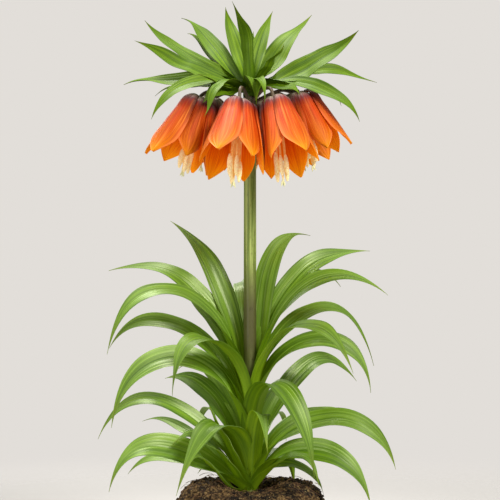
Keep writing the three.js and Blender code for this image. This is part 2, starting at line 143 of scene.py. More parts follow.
@dataclass(frozen=True)
class Grit:
    """Seeded noise on a cubic lattice, for crumbs, clods and slight irregularity."""

    seed: int

    def at(self, points: Array, size: float) -> Array:
        """Noise from -1 to 1: random values at the corners of a lattice, mixed smoothly inside each cell.

        Args:
            points: places, shape (..., 3).
            size: side of a lattice cell, in the unit of the points.

        Returns:
            Values of shape (...).
        """
        values = np.random.default_rng(self.seed).uniform(-1.0, 1.0, HASH_VALUES)
        place = points / size
        cell = np.floor(place).astype(np.int64)
        f = place - cell
        f = f * f * (3.0 - 2.0 * f)
        total = np.zeros(points.shape[:-1])
        for corner in range(8):
            bits = np.array([corner & 1, (corner >> 1) & 1, corner >> 2])
            hashed = (cell + bits) * np.array(HASH_PRIMES)
            mixed = hashed[..., 0] ^ hashed[..., 1] ^ hashed[..., 2]
            weight = np.prod(np.where(bits == 1, f, 1.0 - f), axis=-1)
            total += weight * values[mixed & (HASH_VALUES - 1)]
        return total


# ---- Meshes ---------------------------------------------------------------------------------------
class Cap(Enum):
    """How the two ends of a skin of rings are closed."""

    BLADE = "the upper face is joined to the lower face"
    POLE = "the ring shrinks to a point"


@dataclass
class Skin:
    """Closed surfaces gathered into one mesh, with values marked on their points."""

    points: list[Array] = field(default_factory=list)
    quads: list[Array] = field(default_factory=list)
    slots: list[Array] = field(default_factory=list)
    marks: dict[str, list[Array]] = field(default_factory=dict)
    size: int = 0

    def add_points(self, points: Array, quads: Array, slots: Array, **marks: Numbers) -> None:
        """Adds points in millimetres, quads that index them, and a value of each mark at each point.

        Args:
            points: shape (n, 3).
            quads: shape (m, 4), from 0.
            slots: material slot of each quad, shape (m,).
            marks: one value for all points, or one for each point.
        """
        self.points.append(points)
        self.quads.append(quads + self.size)
        self.slots.append(slots)
        for name, values in marks.items():
            spread = np.broadcast_to(np.asarray(values, float).reshape(-1), (len(points),))
            self.marks.setdefault(name, []).append(np.array(spread))
        self.size += len(points)

    def add_rings(self, rings: Array, cap: Cap, slots: Union[Array, int] = 0, **marks: Numbers) -> None:
        """Adds a skin over closed rings of equal length.

        Args:
            rings: shape (rows, points in a ring, 3). With Cap.BLADE the first half of a ring is the upper
                face from left to right, and the second half is the lower face from right to left.
            cap: how both ends are closed.
            slots: material slot of the faces that follow each point of a ring, or one for all.
            marks: values that spread over shape (rows, points in a ring).
        """
        rows, around = rings.shape[:2]
        if cap is Cap.POLE:
            first, last = (np.broadcast_to(rings[end].mean(axis=0), (1, around, 3)) for end in (0, -1))
            rings = np.concatenate([first, rings, last])
        index = np.arange(len(rings) * around).reshape(len(rings), around)
        after = np.roll(index, -1, axis=1)
        quads = np.stack([index[:-1], after[:-1], after[1:], index[1:]], axis=-1)
        face_slots = np.broadcast_to(np.asarray(slots, int), (len(rings) - 1, around))
        parts, part_slots = [quads.reshape(-1, 4)], [face_slots.reshape(-1)]
        if cap is Cap.BLADE:
            half = around // 2
            for row in (0, len(rings) - 1):
                upper, lower = index[row, :half], index[row, half:][::-1]
                parts.append(np.stack([upper[:-1], upper[1:], lower[1:], lower[:-1]], axis=-1))
                part_slots.append(np.zeros(half - 1, int))
        spread = {}
        for name, values in marks.items():
            full = np.broadcast_to(np.asarray(values, float), (rows, around))
            if cap is Cap.POLE:
                full = np.concatenate([full[:1], full, full[-1:]])
            spread[name] = full.reshape(-1)
        self.add_points(rings.reshape(-1, 3), np.concatenate(parts), np.concatenate(part_slots), **spread)

    def piece(self, name: str, materials: Sequence[Material], slot: str, *nodes: str) -> Thing:
        """Makes the mesh, merges its poles, turns its faces outwards and lets it ride on the plant.

        Args:
            name: the piece's name.
            materials: one for each material slot of the faces.
            slot: the record's material slot; it is not used.
            nodes: the solids that it stands for.

        Returns:
            The finished object, at the origin.
        """
        mesh = bpy.data.meshes.new(name)
        mesh.from_pydata((np.concatenate(self.points) * MM).tolist(), [], np.concatenate(self.quads).tolist())
        mesh.polygons.foreach_set("material_index", np.concatenate(self.slots).astype(np.int32))
        for mark, values in self.marks.items():
            layer = mesh.attributes.new(mark, "FLOAT", "POINT")
            layer.data.foreach_set("value", np.concatenate(values).astype(np.float32))
        shell = bmesh.new()
        shell.from_mesh(mesh)
        bmesh.ops.remove_doubles(shell, verts=shell.verts, dist=MERGE_DISTANCE)
        bmesh.ops.recalc_face_normals(shell, faces=shell.faces)
        shell.to_mesh(mesh)
        shell.free()
        mesh.shade_smooth()
        mesh.set_sharp_from_angle(angle=math.radians(SHARP_ANGLE))
        for material in materials:
            mesh.materials.append(material)
        thing = bpy.data.objects.new(name, mesh)
        bpy.context.scene.collection.objects.link(thing)
        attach(thing, "root")
        if nodes:
            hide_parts(*nodes)
        mesh.calc_loop_triangles()
        solids = ", ".join(nodes) or "nothing"
        log.info("%s: %d triangles, stands for %s", name, len(mesh.loop_triangles), solids)
        return thing


def tube(path: Array, radii: Array, sides: int) -> Array:
    """Rings round a path: each is a circle square to the path, turned so that its angle 0 keeps to one side.

    Args:
        path: points of the middle line, shape (rows, 3).
        radii: radius at each point, shape (rows,) or (rows, sides).
        sides: points in a ring.

    Returns:
        Rings of shape (rows, sides, 3).
    """
    along = unit(np.gradient(path, axis=0))
    steep = abs(along[len(path) // 2, 2]) > 0.8
    first = unit(np.cross(along, np.array([0.0, 1.0, 0.0] if steep else [0.0, 0.0, 1.0])))
    second = np.cross(along, first)
    angle = angles_round(sides)[:, None]
    spread = np.asarray(radii, float).reshape(len(path), -1)[..., None]
    circle = first[:, None] * np.cos(angle) + second[:, None] * np.sin(angle)
    return path[:, None] + spread * circle


def revolved(profile: Array, sides: int) -> Array:
    """Rings of a body of revolution about +Z, from [radius, height] rows."""
    return around_z(profile[:, :1], profile[:, 1:2], angles_round(sides))


# ---- Shader maths ---------------------------------------------------------------------------------
class Channel:
    """A number, colour or vector that a shader works out, which Python's operators carry on."""

    def __init__(self, board: Board, socket: bpy.types.NodeSocket) -> None:
        """Wraps an output socket of a node on the board."""
        self.board = board
        self.socket = socket

    def __add__(self, other: Value) -> Channel:
        """Sum of two numbers."""
        return self.board.maths("ADD", self, other)

    __radd__ = __add__

    def __mul__(self, other: Value) -> Channel:
        """Product of two numbers."""
        return self.board.maths("MULTIPLY", self, other)

    __rmul__ = __mul__

    def __sub__(self, other: Value) -> Channel:
        """This number less the other."""
        return self.board.maths("SUBTRACT", self, other)

    def __rsub__(self, other: Value) -> Channel:
        """The other number less this one."""
        return self.board.maths("SUBTRACT", other, self)

    def __abs__(self) -> Channel:
        """Size of this number without its sign."""
        return self.board.maths("ABSOLUTE", self)

    def rise(self, low: float, high: float) -> Channel:
        """A smooth rise from 0 where this number is low to 1 where it is high."""
        settings = {"interpolation_type": "SMOOTHSTEP"}
        inputs = {"Value": self, "From Min": low, "From Max": high, "To Min": 0.0, "To Max": 1.0}
        return self.board.made("ShaderNodeMapRange", settings, inputs)


Value = Union[Channel, float, int]


class Board:
    """A material's node tree."""

    def __init__(self, name: str) -> None:
        """Starts an empty material of that name."""
        self.material = bpy.data.materials.new(name)
        self.material.use_nodes = True
        self.material.node_tree.nodes.clear()

    def node(self, kind: str, settings: Mapping[str, object], inputs: Mapping[str, object]) -> bpy.types.Node:
        """Adds a node.

        Args:
            kind: the node's type.
            settings: its own settings, set before its sockets. "stops" are a ramp's (place, colour) pairs.
            inputs: a value or a Channel for each named input.

        Returns:
            The node.
        """
        node = self.material.node_tree.nodes.new(kind)
        for name, value in settings.items():
            if name == "stops":
                elements = node.color_ramp.elements
                for place, _ in value[2:]:
                    elements.new(place)
                for element, (place, colour) in zip(elements, value):
                    element.position = place
                    element.color = (*colour, 1.0)
            else:
                setattr(node, name, value)
        for name, value in inputs.items():
            socket = next(s for s in node.inputs if name in (s.identifier, s.name) and s.enabled)
            if isinstance(value, Channel):
                self.material.node_tree.links.new(value.socket, socket)
            else:
                socket.default_value = (*value, 1.0) if socket.type == "RGBA" and len(value) == 3 else value
        return node

    def made(
        self,
        kind: str,
        settings: Mapping[str, object],
        inputs: Mapping[str, object],
        output: Union[int, str] = 0,
    ) -> Channel:
        """Adds a node, as node does, and gives the output of that number or name."""
        return Channel(self, self.node(kind, settings, inputs).outputs[output])

    def maths(self, operation: str, *values: Value) -> Channel:
        """One Math node on one or two numbers."""
        inputs = dict(zip(("Value", "Value_001"), values))
        return self.made("ShaderNodeMath", {"operation": operation}, inputs)

    def mark(self, name: str) -> Channel:
        """A value marked on the mesh's points."""
        return self.made("ShaderNodeAttribute", {"attribute_name": name}, {}, "Fac")

    def place(self) -> Channel:
        """Object coordinates, in metres."""
        return self.made("ShaderNodeTexCoord", {}, {}, "Object")

    def vector(self, x: Value, y: Value, z: Value) -> Channel:
        """A vector from three numbers."""
        return self.made("ShaderNodeCombineXYZ", {}, {"X": x, "Y": y, "Z": z})

    def noise(self, vector: Channel, scale: float, detail: float = 2.0, rough: float = 0.5) -> Channel:
        """Noise from 0 to 1 over a vector."""
        inputs = {"Vector": vector, "Scale": scale, "Detail": detail, "Roughness": rough}
        return self.made("ShaderNodeTexNoise", {}, inputs)

    def strands(self, across: Channel, along: Channel, detail: float = 2.0, rough: float = 0.5) -> Channel:
        """Noise from 0 to 1 over two numbers, drawn out along the one that is stretched less."""
        return self.noise(self.vector(across, along, 0.0), 1.0, detail, rough)

    def cells(self, vector: Channel, scale: float) -> Channel:
        """Distance to the nearest of scattered points, for crumbs."""
        return self.made("ShaderNodeTexVoronoi", {}, {"Vector": vector, "Scale": scale})

    def ramp(self, value: Channel, *stops: tuple[float, Colour]) -> Channel:
        """A colour that runs through stops as the value rises."""
        return self.made("ShaderNodeValToRGB", {"stops": stops}, {"Fac": value})

    def mixed(
        self, share: Value, first: Union[Channel, Colour], second: Union[Channel, Colour], way: str = "MIX"
    ) -> Channel:
        """Two colours mixed.

        Args:
            share: 0 gives the first colour and 1 the second.
            first: a colour.
            second: a colour.
            way: how the second acts on the first, as the node calls it.

        Returns:
            The mixed colour.
        """
        inputs = {"Factor_Float": share, "A_Color": first, "B_Color": second}
        node = self.node("ShaderNodeMix", {"data_type": "RGBA", "blend_type": way}, inputs)
        return Channel(self, next(socket for socket in node.outputs if socket.identifier == "Result_Color"))

    def shaded(self, share: Value, first: Channel, second: Union[Channel, Colour]) -> Channel:
        """The first colour, multiplied by the second as far as the share says."""
        return self.mixed(share, first, second, "MULTIPLY")

    def relief(self, height: Channel, distance: float, strength: float = 1.0) -> Channel:
        """A bumped normal from a height."""
        inputs = {"Height": height, "Distance": distance, "Strength": strength}
        return self.made("ShaderNodeBump", {}, inputs)

    def surface(self, inputs: Mapping[str, object]) -> Material:
        """Closes the material with one Principled shader."""
        shader = self.node("ShaderNodeBsdfPrincipled", {}, inputs)
        self.node("ShaderNodeOutputMaterial", {}, {"Surface": Channel(self, shader.outputs[0])})
        return self.material


def srgb(red: int, green: int, blue: int) -> Colour:
    """A colour given as it shows on a screen, as the shader needs it."""
    parts = (red / 255, green / 255, blue / 255)
    return tuple(((part + 0.055) / 1.055) ** 2.4 if part > 0.04 else part / 12.92 for part in parts)


# ---- Finishes -------------------------------------------------------------------------------------
@dataclass(frozen=True)
class LeafFinish:
    """Satin green blade with fine parallel veins and a root colour of its own, with a weak painted glow that
    stands for light let through it.
    """

    deep: Colour
    bright: Colour
    pale_vein_and_sheen: Colour
    root: Colour
    tip: Colour
    roughness: float
    gloss: float
    # strength of the painted glow: emission that stands for light let through the blade
    through: float

    def material(self, name: str) -> Material:
        """Veins are noise drawn out along the blade; they steer colour, roughness and relief.

        Light let through the blade is painted as a weak yellow-green glow, weaker where the blade is deep
        green.

        Args:
            name: the material's name.

        Returns:
            The material.
        """
        board = Board(name)
        across, along, tone = board.mark("across"), board.mark("along"), board.mark("tone")
        shift = tone * 37.0
        bands = board.strands(across * 3.2 + shift, along * 1.1 + shift)
        veins = board.strands(across * 17.0 + shift, along * 0.9, 2.0, 0.6)
        ribs = board.strands(across * 6.0 + shift, along * 0.9, 0.0)
        mottle = board.noise(board.place(), 38.0, 3.0)
        colour = board.mixed(bands.rise(0.22, 0.78), self.deep, self.bright)
        # paler streaks on the veins: partly their own paler green, partly a painted highlight
        colour = board.mixed(veins.rise(0.52, 0.76) * 0.6, colour, self.pale_vein_and_sheen)
        low = 1.0 - along.rise(0.0, 0.34)
        colour = board.mixed(low * 0.75, colour, self.root)
        # painted shade: darker margins at the root, where the crowded leaf bases shade each other
        colour = board.shaded(low * abs(across).rise(0.35, 1.0) * 0.65, colour, srgb(120, 150, 60))
        colour = board.mixed(along.rise(0.86, 1.0) * 0.8, colour, self.tip)
        colour = board.shaded((1.0 - veins.rise(0.28, 0.46)) * 0.6, colour, srgb(150, 176, 90))
        # painted shade: darker along the midrib, in its groove
        colour = board.shaded((1.0 - abs(across).rise(0.0, 0.09)) * 0.45, colour, srgb(140, 176, 70))
        colour = board.shaded(mottle.rise(0.3, 0.75) * 0.4, colour, srgb(180, 200, 150))
        colour = board.shaded(tone * 0.4, colour, srgb(200, 222, 140))
        calm = 1.0 - along.rise(0.6, 0.88)
        return board.surface({
            "Base Color": colour,
            "Roughness": self.roughness + veins * 0.2 + mottle * 0.08 + along.rise(0.6, 0.9) * 0.3,
            "Normal": board.relief((ribs + bands * 0.5) * calm, 0.0006, 0.5),
            "Specular IOR Level": self.gloss,
            "Specular Tint": (0.94, 1.0, 0.6, 1.0),
            # painted glow: emission of the leaf's own colour, which lifts its shaded parts
            "Emission Color": board.shaded(1.0, colour, srgb(255, 240, 0)),
            "Emission Strength": self.through,
        })


@dataclass(frozen=True)
class TepalFinish:
    """Bell petal with dark lengthwise veins, shaded from its humped base to its point."""

    stops: tuple[tuple[float, Colour], ...]
    vein: Colour
    flush: Colour
    glow: Colour
    margin: Colour
    roughness: float
    # strength of the painted glow: emission that brightens the tepal, most inside the shaded bell
    through: float

    def material(self, name: str) -> Material:
        """Colour runs along the tepal; veins are thin dark lines that meet at its base and point.

        Args:
            name: the material's name.

        Returns:
            The material.
        """
        board = Board(name)
        across, along, tone = board.mark("across"), board.mark("along"), board.mark("tone")
        shift = tone * 23.0
        lines = board.strands(across * 20.0 + shift, along * 1.6, 2.0, 0.6)
        thin = lines.rise(0.5, 0.62) * along.rise(0.06, 0.25) * (1.0 - along.rise(0.74, 0.98))
        streaks = board.strands(across * 9.0 + shift, along * 1.3 + shift, 3.0, 0.6)
        broad = board.strands(across * 2.4 + shift, along * 1.1 - shift)
        ridges = board.strands(across * 4.5 + shift, along * 0.9 + shift, 0.0)
        patches = board.noise(board.place(), 42.0, 2.0)
        colour = board.ramp(along + (patches - 0.5) * 0.1 + (streaks - 0.5) * 0.12, *self.stops)
        below = along.rise(0.18, 0.42)
        colour = board.mixed(streaks.rise(0.45, 0.75) * 0.5 * below, colour, self.glow)
        fresh = (1.0 - along.rise(0.5, 0.9)) * below
        colour = board.mixed((1.0 - broad.rise(0.36, 0.6)) * 0.6 * fresh, colour, self.flush)
        colour = board.mixed((1.0 - streaks.rise(0.25, 0.5)) * 0.5 * fresh, colour, self.flush)
        colour = board.mixed(thin * 0.6, colour, self.vein)
        colour = board.mixed(abs(across).rise(0.72, 1.0) * along.rise(0.35, 0.6) * 0.45, colour, self.margin)
        # painted shade: darker at the margins near the base, in the furrows between neighbouring tepals
        painted_furrow_shade = abs(across).rise(0.55, 1.0) * (1.0 - along.rise(0.2, 0.5))
        colour = board.shaded(painted_furrow_shade * 0.85, colour, srgb(120, 46, 30))
        midrib = (1.0 - abs(across).rise(0.0, 0.14)) * along.rise(0.1, 0.3)
        colour = board.mixed(midrib * 0.25, colour, self.vein)
        return board.surface({
            "Base Color": colour,
            "Roughness": self.roughness + streaks * 0.12,
            "Normal": board.relief(ridges * (1.0 - abs(across).rise(0.5, 1.0)), 0.0012, 0.6),
            "Specular IOR Level": 0.26,
            "Specular Tint": (1.0, 0.68, 0.38, 1.0),
            # painted glow: emission of the tepal's own colour
            "Emission Color": board.shaded(1.0, colour, srgb(255, 200, 60)),
            "Emission Strength": self.through,
        })


@dataclass(frozen=True)
class StemFinish:
    """Smooth green skin with fine lengthwise streaks and a purple-brown flush between two heights."""

    green: Colour
    light: Colour
    flush: Colour
    flush_from: float
    flush_to: float

    def material(self, name: str) -> Material:
        """Streaks are noise drawn out along the stem; the flush fades in and out along its height.

        Args:
            name: the material's name.

        Returns:
            The material.
        """
        board = Board(name)
        place = board.place()
        split = board.node("ShaderNodeSeparateXYZ", {}, {"Vector": place})
        x, y, z = (Channel(board, split.outputs[k]) for k in range(3))
        streaks = board.noise(board.vector(x * 420.0, y * 420.0, z * 9.0), 1.0, 3.0, 0.6)
        spots = board.noise(board.vector(x, y, z * 0.35), 520.0, 2.0)
        middle = (self.flush_from + self.flush_to) / 2
        band = z.rise(self.flush_from, middle) * (1.0 - z.rise(middle, self.flush_to))
        colour = board.mixed(streaks.rise(0.35, 0.7), self.green, self.light)
        colour = board.mixed((band * 1.1 + (streaks - 0.5) * 0.5) * band.rise(0.0, 0.4), colour, self.flush)
        colour = board.shaded(spots.rise(0.55, 0.75) * 0.45, colour, srgb(150, 104, 78))
        return board.surface({
            "Base Color": colour,
            "Roughness": 0.42 + streaks * 0.15,
            "Normal": board.relief(streaks, 0.0004, 0.5),
            "Specular IOR Level": 0.4,
        })


@dataclass(frozen=True)
class PlainFinish:
    """Soft matte surface of anthers, filaments, bulb and root fibres, with a fine mottle."""

    light: Colour
    dark: Colour
    tip: Colour
    roughness: float
    grain: float
    # strength of a painted glow: emission that lifts anthers and filaments out of the bell's shade
    through: float = 0.0

    def material(self, name: str) -> Material:
        """Two colours mixed by noise, with a third at the far end of the piece.

        Args:
            name: the material's name.

        Returns:
            The material.
        """
        board = Board(name)
        mottle = board.noise(board.place(), self.grain, 3.0, 0.6)
        colour = board.mixed(mottle.rise(0.35, 0.7), self.light, self.dark)
        colour = board.mixed(board.mark("along").rise(0.9, 1.0), colour, self.tip)
        return board.surface({
            "Base Color": colour,
            "Roughness": self.roughness + mottle * 0.1,
            "Normal": board.relief(mottle, 0.0003, 0.5),
            "Specular IOR Level": 0.3,
            # painted glow: emission of the piece's own colour
            "Emission Color": colour,
            "Emission Strength": self.through,
        })


@dataclass(frozen=True)
class SoilFinish:
    """Dark moist soil: crumbs of several browns, with painted shade blackish between them."""

    dark: Colour
    brown: Colour
    pale: Colour

    def material(self, name: str) -> Material:
        """Crumb colour is noise at two sizes; hollows between crumbs are painted dark, as shade.

        Args:
            name: the material's name.

        Returns:
            The material.
        """
        board = Board(name)
        place = board.place()
        coarse = board.noise(place, 90.0, 4.0, 0.65)
        fine = board.noise(place, 520.0, 3.0, 0.7)
        crumbs = board.cells(place, 330.0)
        colour = board.mixed(coarse.rise(0.38, 0.6), self.dark, self.brown)
        colour = board.mixed(fine.rise(0.52, 0.72) * 0.65, colour, self.pale)
        # painted shade in the hollows between crumbs
        colour = board.shaded(crumbs.rise(0.3, 0.7) * 0.85, colour, srgb(80, 58, 46))
        return board.surface({
            "Base Color": colour,
            "Roughness": 0.86 + fine * 0.1,
            "Normal": board.relief(fine * 0.8 - crumbs, 0.0012, 0.9),
            "Specular IOR Level": 0.25,
        })


@dataclass(frozen=True)
class StudioFinish:
    """Plain pale matte floor that fades out towards its rim."""

    colour: Colour
    fades_from: float
    fades_to: float

    def material(self, name: str) -> Material:
        """One matte colour with the faintest mottle; alpha falls with the distance from the middle.

        Args:
            name: the material's name.

        Returns:
            The material.
        """
        board = Board(name)
        mottle = board.noise(board.place(), 3.0, 2.0)
        darker = tuple(0.97 * part for part in self.colour)
        length = {"operation": "LENGTH"}
        distance = board.made("ShaderNodeVectorMath", length, {"Vector": board.place()}, "Value")
        alpha = 1.0 - distance.rise(self.fades_from, self.fades_to)
        return board.surface({
            "Base Color": board.mixed(mottle, self.colour, darker),
            "Roughness": 0.9,
            "Specular IOR Level": 0.1,
            "Alpha": alpha,
        })


UPPER_LEAF = LeafFinish(
    deep=srgb(60, 94, 0), bright=srgb(108, 142, 24), pale_vein_and_sheen=srgb(192, 212, 136), root=srgb(122, 156, 20),
    tip=srgb(104, 118, 8), roughness=0.27, gloss=0.75, through=0.14,
)
UNDER_LEAF = LeafFinish(
    deep=srgb(78, 112, 2), bright=srgb(118, 148, 4), pale_vein_and_sheen=srgb(158, 180, 36), root=srgb(124, 154, 26),
    tip=srgb(116, 124, 14), roughness=0.42, gloss=0.4, through=0.16,
)
# On the crown the root colour is dark: painted shade at the crowded leaf bases.
UPPER_CROWN = LeafFinish(
    deep=srgb(58, 88, 0), bright=srgb(98, 126, 2), pale_vein_and_sheen=srgb(162, 186, 56), root=srgb(58, 86, 0),
    tip=srgb(88, 94, 0), roughness=0.4, gloss=0.26, through=0.06,
)
UNDER_CROWN = LeafFinish(
    deep=srgb(62, 92, 0), bright=srgb(96, 126, 0), pale_vein_and_sheen=srgb(150, 176, 60), root=srgb(70, 98, 0),
    tip=srgb(98, 104, 4), roughness=0.42, gloss=0.3, through=0.08,
)
BELL_OUTSIDE = TepalFinish(
    stops=(
        (0.0, srgb(70, 76, 46)), (0.12, srgb(116, 112, 90)), (0.185, srgb(112, 88, 84)),
        (0.225, srgb(80, 40, 50)), (0.275, srgb(128, 38, 22)), (0.34, srgb(166, 58, 6)),
        (0.66, srgb(182, 80, 0)), (0.88, srgb(198, 102, 0)), (1.0, srgb(220, 136, 0)),
    ),
    vein=srgb(140, 20, 0), flush=srgb(188, 44, 4), glow=srgb(246, 150, 62), margin=srgb(240, 128, 76),
    roughness=0.46, through=0.05,
)
# Inside, the stops darken towards the bell's top: partly the tepal's own deeper red, partly painted shade
# deep in the bell.
BELL_INSIDE = TepalFinish(
    stops=(
        (0.0, srgb(80, 40, 10)), (0.2, srgb(150, 36, 2)), (0.5, srgb(204, 72, 2)), (0.76, srgb(232, 132, 4)),
        (1.0, srgb(244, 166, 8)),
    ),
    vein=srgb(186, 56, 2), flush=srgb(208, 80, 2), glow=srgb(246, 166, 12), margin=srgb(240, 150, 20),
    roughness=0.45, through=0.24,
)
STEM_SKIN = StemFinish(
    green=srgb(92, 110, 24), light=srgb(166, 178, 96), flush=srgb(80, 78, 38), flush_from=0.16, flush_to=0.33,
)
STALK_SKIN = StemFinish(
    green=srgb(68, 84, 26), light=srgb(128, 132, 78), flush=srgb(86, 72, 50), flush_from=0.4, flush_to=0.56,
)
# The last number of ANTHER and FILAMENT is a painted glow that lifts them out of the bell's shade.
ANTHER = PlainFinish(srgb(250, 230, 176), srgb(226, 190, 122), srgb(214, 196, 130), 0.6, 700.0, 0.2)
FILAMENT = PlainFinish(srgb(246, 200, 122), srgb(232, 168, 78), srgb(214, 212, 160), 0.5, 300.0, 0.16)
BULB_SKIN = PlainFinish(srgb(206, 184, 140), srgb(166, 134, 92), srgb(206, 184, 140), 0.6, 60.0)
SOIL = SoilFinish(dark=srgb(28, 16, 6), brown=srgb(114, 88, 52), pale=srgb(192, 164, 106))
FIBRE = PlainFinish(srgb(120, 86, 56), srgb(70, 46, 30), srgb(90, 62, 40), 0.8, 200.0)
FLOOR = StudioFinish(srgb(182, 179, 174), 0.3, 0.92)


# ---- Leaves ---------------------------------------------------------------------------------------
@dataclass(frozen=True)
class Blade:
    """One leaf: it arches in an upright plane at its azimuth, through points given as (reach, height).

    The root is the height where it leaves the stem. The roll is how far it turns round its midrib, in
    degrees, and the sway is how far its tip stands beside the plane.
    """

    azimuth: float
    root: float
    third: tuple[float, float]
    two_thirds: tuple[float, float]
    tip: tuple[float, float]
    width: float
    roll: float
    sway: float


LOWER_BLADES = tuple(Blade(*row) for row in (
    # upper whorl
    (148, 186, (25, 256), (54, 313), (97, 350), 24, -30, 0),
    (170, 182, (37, 255), (84, 298), (146, 299), 23, -42, 0),
    (200, 172, (41, 256), (101, 281), (147, 219), 22, -38, 0),
    (155, 160, (28, 229), (54, 263), (82, 287), 22, -30, 0),
    (100, 184, (24, 252), (60, 286), (112, 266), 22, -20, -6),
    (44, 182, (29, 250), (78, 292), (134, 281), 18, 30, 0),
    (48, 186, (17, 259), (33, 317), (85, 335), 24, 25, -8),
    (28, 182, (29, 261), (77, 308), (142, 319), 24, 42, 0),
    (342, 172, (28, 251), (78, 293), (141, 276), 21, 42, 0),
    # second whorl
    (176, 150, (38, 219), (92, 250), (142, 221), 20, -50, 0),
    (228, 165, (36, 221), (82, 231), (104, 181), 24, -16, -6),
    (12, 168, (36, 240), (89, 260), (129, 202), 18, 42, 0),
    (318, 158, (31, 227), (80, 248), (127, 203), 22, 24, 5),
    (350, 150, (37, 219), (90, 228), (121, 179), 21, 50, 0),
    (82, 158, (30, 222), (80, 250), (130, 214), 20, 10, 4),
    # third whorl
    (197, 126, (40, 201), (100, 211), (141, 147), 26, -58, 0),
    (165, 100, (26, 151), (52, 184), (88, 190), 28, -30, 4),
    (35, 112, (41, 175), (88, 207), (137, 182), 21, 42, 0),
    (296, 116, (28, 185), (71, 173), (87, 102), 30, 4, 26),
    (62, 104, (39, 159), (85, 172), (112, 140), 18, 30, 4),
    (135, 112, (30, 172), (66, 202), (100, 196), 19, -30, 6),
    # fourth whorl
    (180, 80, (44, 141), (103, 171), (152, 131), 19, -48, 0),
    (150, 80, (46, 116), (83, 140), (127, 142), 13, -34, 4),
    (285, 82, (20, 136), (42, 160), (65, 125), 22, -6, 0),
    (345, 84, (43, 141), (105, 152), (147, 106), 24, 48, 0),
    (22, 82, (38, 140), (84, 155), (118, 141), 17, 40, 4),
    (72, 82, (40, 138), (98, 150), (140, 112), 20, 14, 4),
    (118, 82, (38, 140), (94, 152), (136, 116), 20, -14, -4),
    (215, 80, (23, 118), (38, 146), (49, 168), 24, -24, 0),
    # lowest whorl, rising from the soil
    (208, 80, (27, 110), (53, 135), (86, 130), 23, -24, 0),
    (245, 80, (23, 133), (58, 146), (86, 84), 28, -6, -38),
    (198, 80, (46, 110), (104, 128), (144, 85), 28, -58, 0),
    (170, 80, (46, 103), (88, 112), (125, 93), 16, -40, 3),
    (125, 80, (32, 102), (63, 103), (90, 86), 15, -20, 4),
    (338, 80, (42, 120), (95, 116), (126, 72), 25, 50, 0),
    (312, 80, (37, 109), (71, 122), (93, 94), 14, 20, 5),
    (352, 80, (26, 106), (54, 103), (73, 80), 13, 36, 0),
    (60, 80, (36, 108), (70, 112), (88, 66), 20, -20, -3),
    (92, 80, (38, 106), (86, 110), (118, 82), 18, -8, 4),
    (212, 80, (29, 90), (52, 115), (70, 108), 17, -20, 0),
))

CROWN_BLADES = tuple(Blade(*row) for row in (
    # steep inner leaves
    (118, 484, (17, 508), (37, 541), (50, 570), 16, -20, 2),
    (252, 482, (9, 507), (19, 535), (56, 560), 16, -20, 0),
    (85, 484, (14, 502), (26, 523), (42, 545), 12, 6, 0),
    (62, 484, (11, 508), (26, 536), (50, 566), 16, 20, 0),
    (38, 483, (23, 503), (48, 533), (81, 563), 25, 32, 0),
    (140, 483, (29, 505), (60, 538), (97, 562), 20, -30, -4),
    (130, 481, (35, 501), (64, 528), (92, 546), 14, -20, 8),
    (310, 481, (23, 494), (38, 508), (51, 520), 16, 20, 0),
    # spreading leaves
    (165, 481, (41, 502), (80, 526), (111, 554), 18, -42, 0),
    (192, 480, (43, 493), (77, 508), (116, 526), 23, -46, 0),
    (350, 480, (40, 492), (74, 510), (109, 537), 30, 50, 0),
    (100, 481, (34, 494), (68, 504), (104, 502), 18, -8, 4),
    # level and drooping outer leaves
    (183, 479, (38, 489), (85, 490), (126, 484), 18, -46, 4),
    (213, 479, (47, 487), (87, 475), (113, 445), 15, -40, 0),
    (18, 479, (48, 498), (92, 502), (136, 492), 15, 44, -3),
    (335, 479, (46, 486), (89, 473), (117, 444), 16, 44, 0),
    (282, 479, (26, 487), (53, 484), (68, 460), 10, 6, 0),
    (238, 479, (44, 485), (67, 470), (83, 447), 9, -16, 0),
    (225, 478, (25, 479), (48, 485), (71, 490), 12, -20, 0),
    (172, 479, (34, 486), (66, 487), (98, 476), 13, -40, -6),
    (60, 479, (36, 487), (76, 490), (112, 476), 16, 14, 4),
    (113, 479, (36, 487), (76, 490), (112, 478), 16, -14, -4),
    (30, 479, (40, 488), (80, 490), (112, 470), 15, 20, 4),
    # short low leaves between the bells
    (277, 480, (20, 486), (40, 486), (50, 461), 21, 0, 0),
    (222, 477, (22, 479), (44, 475), (62, 463), 20, -44, 0),
    (321, 479, (22, 483), (44, 481), (62, 471), 19, 34, 0),
))


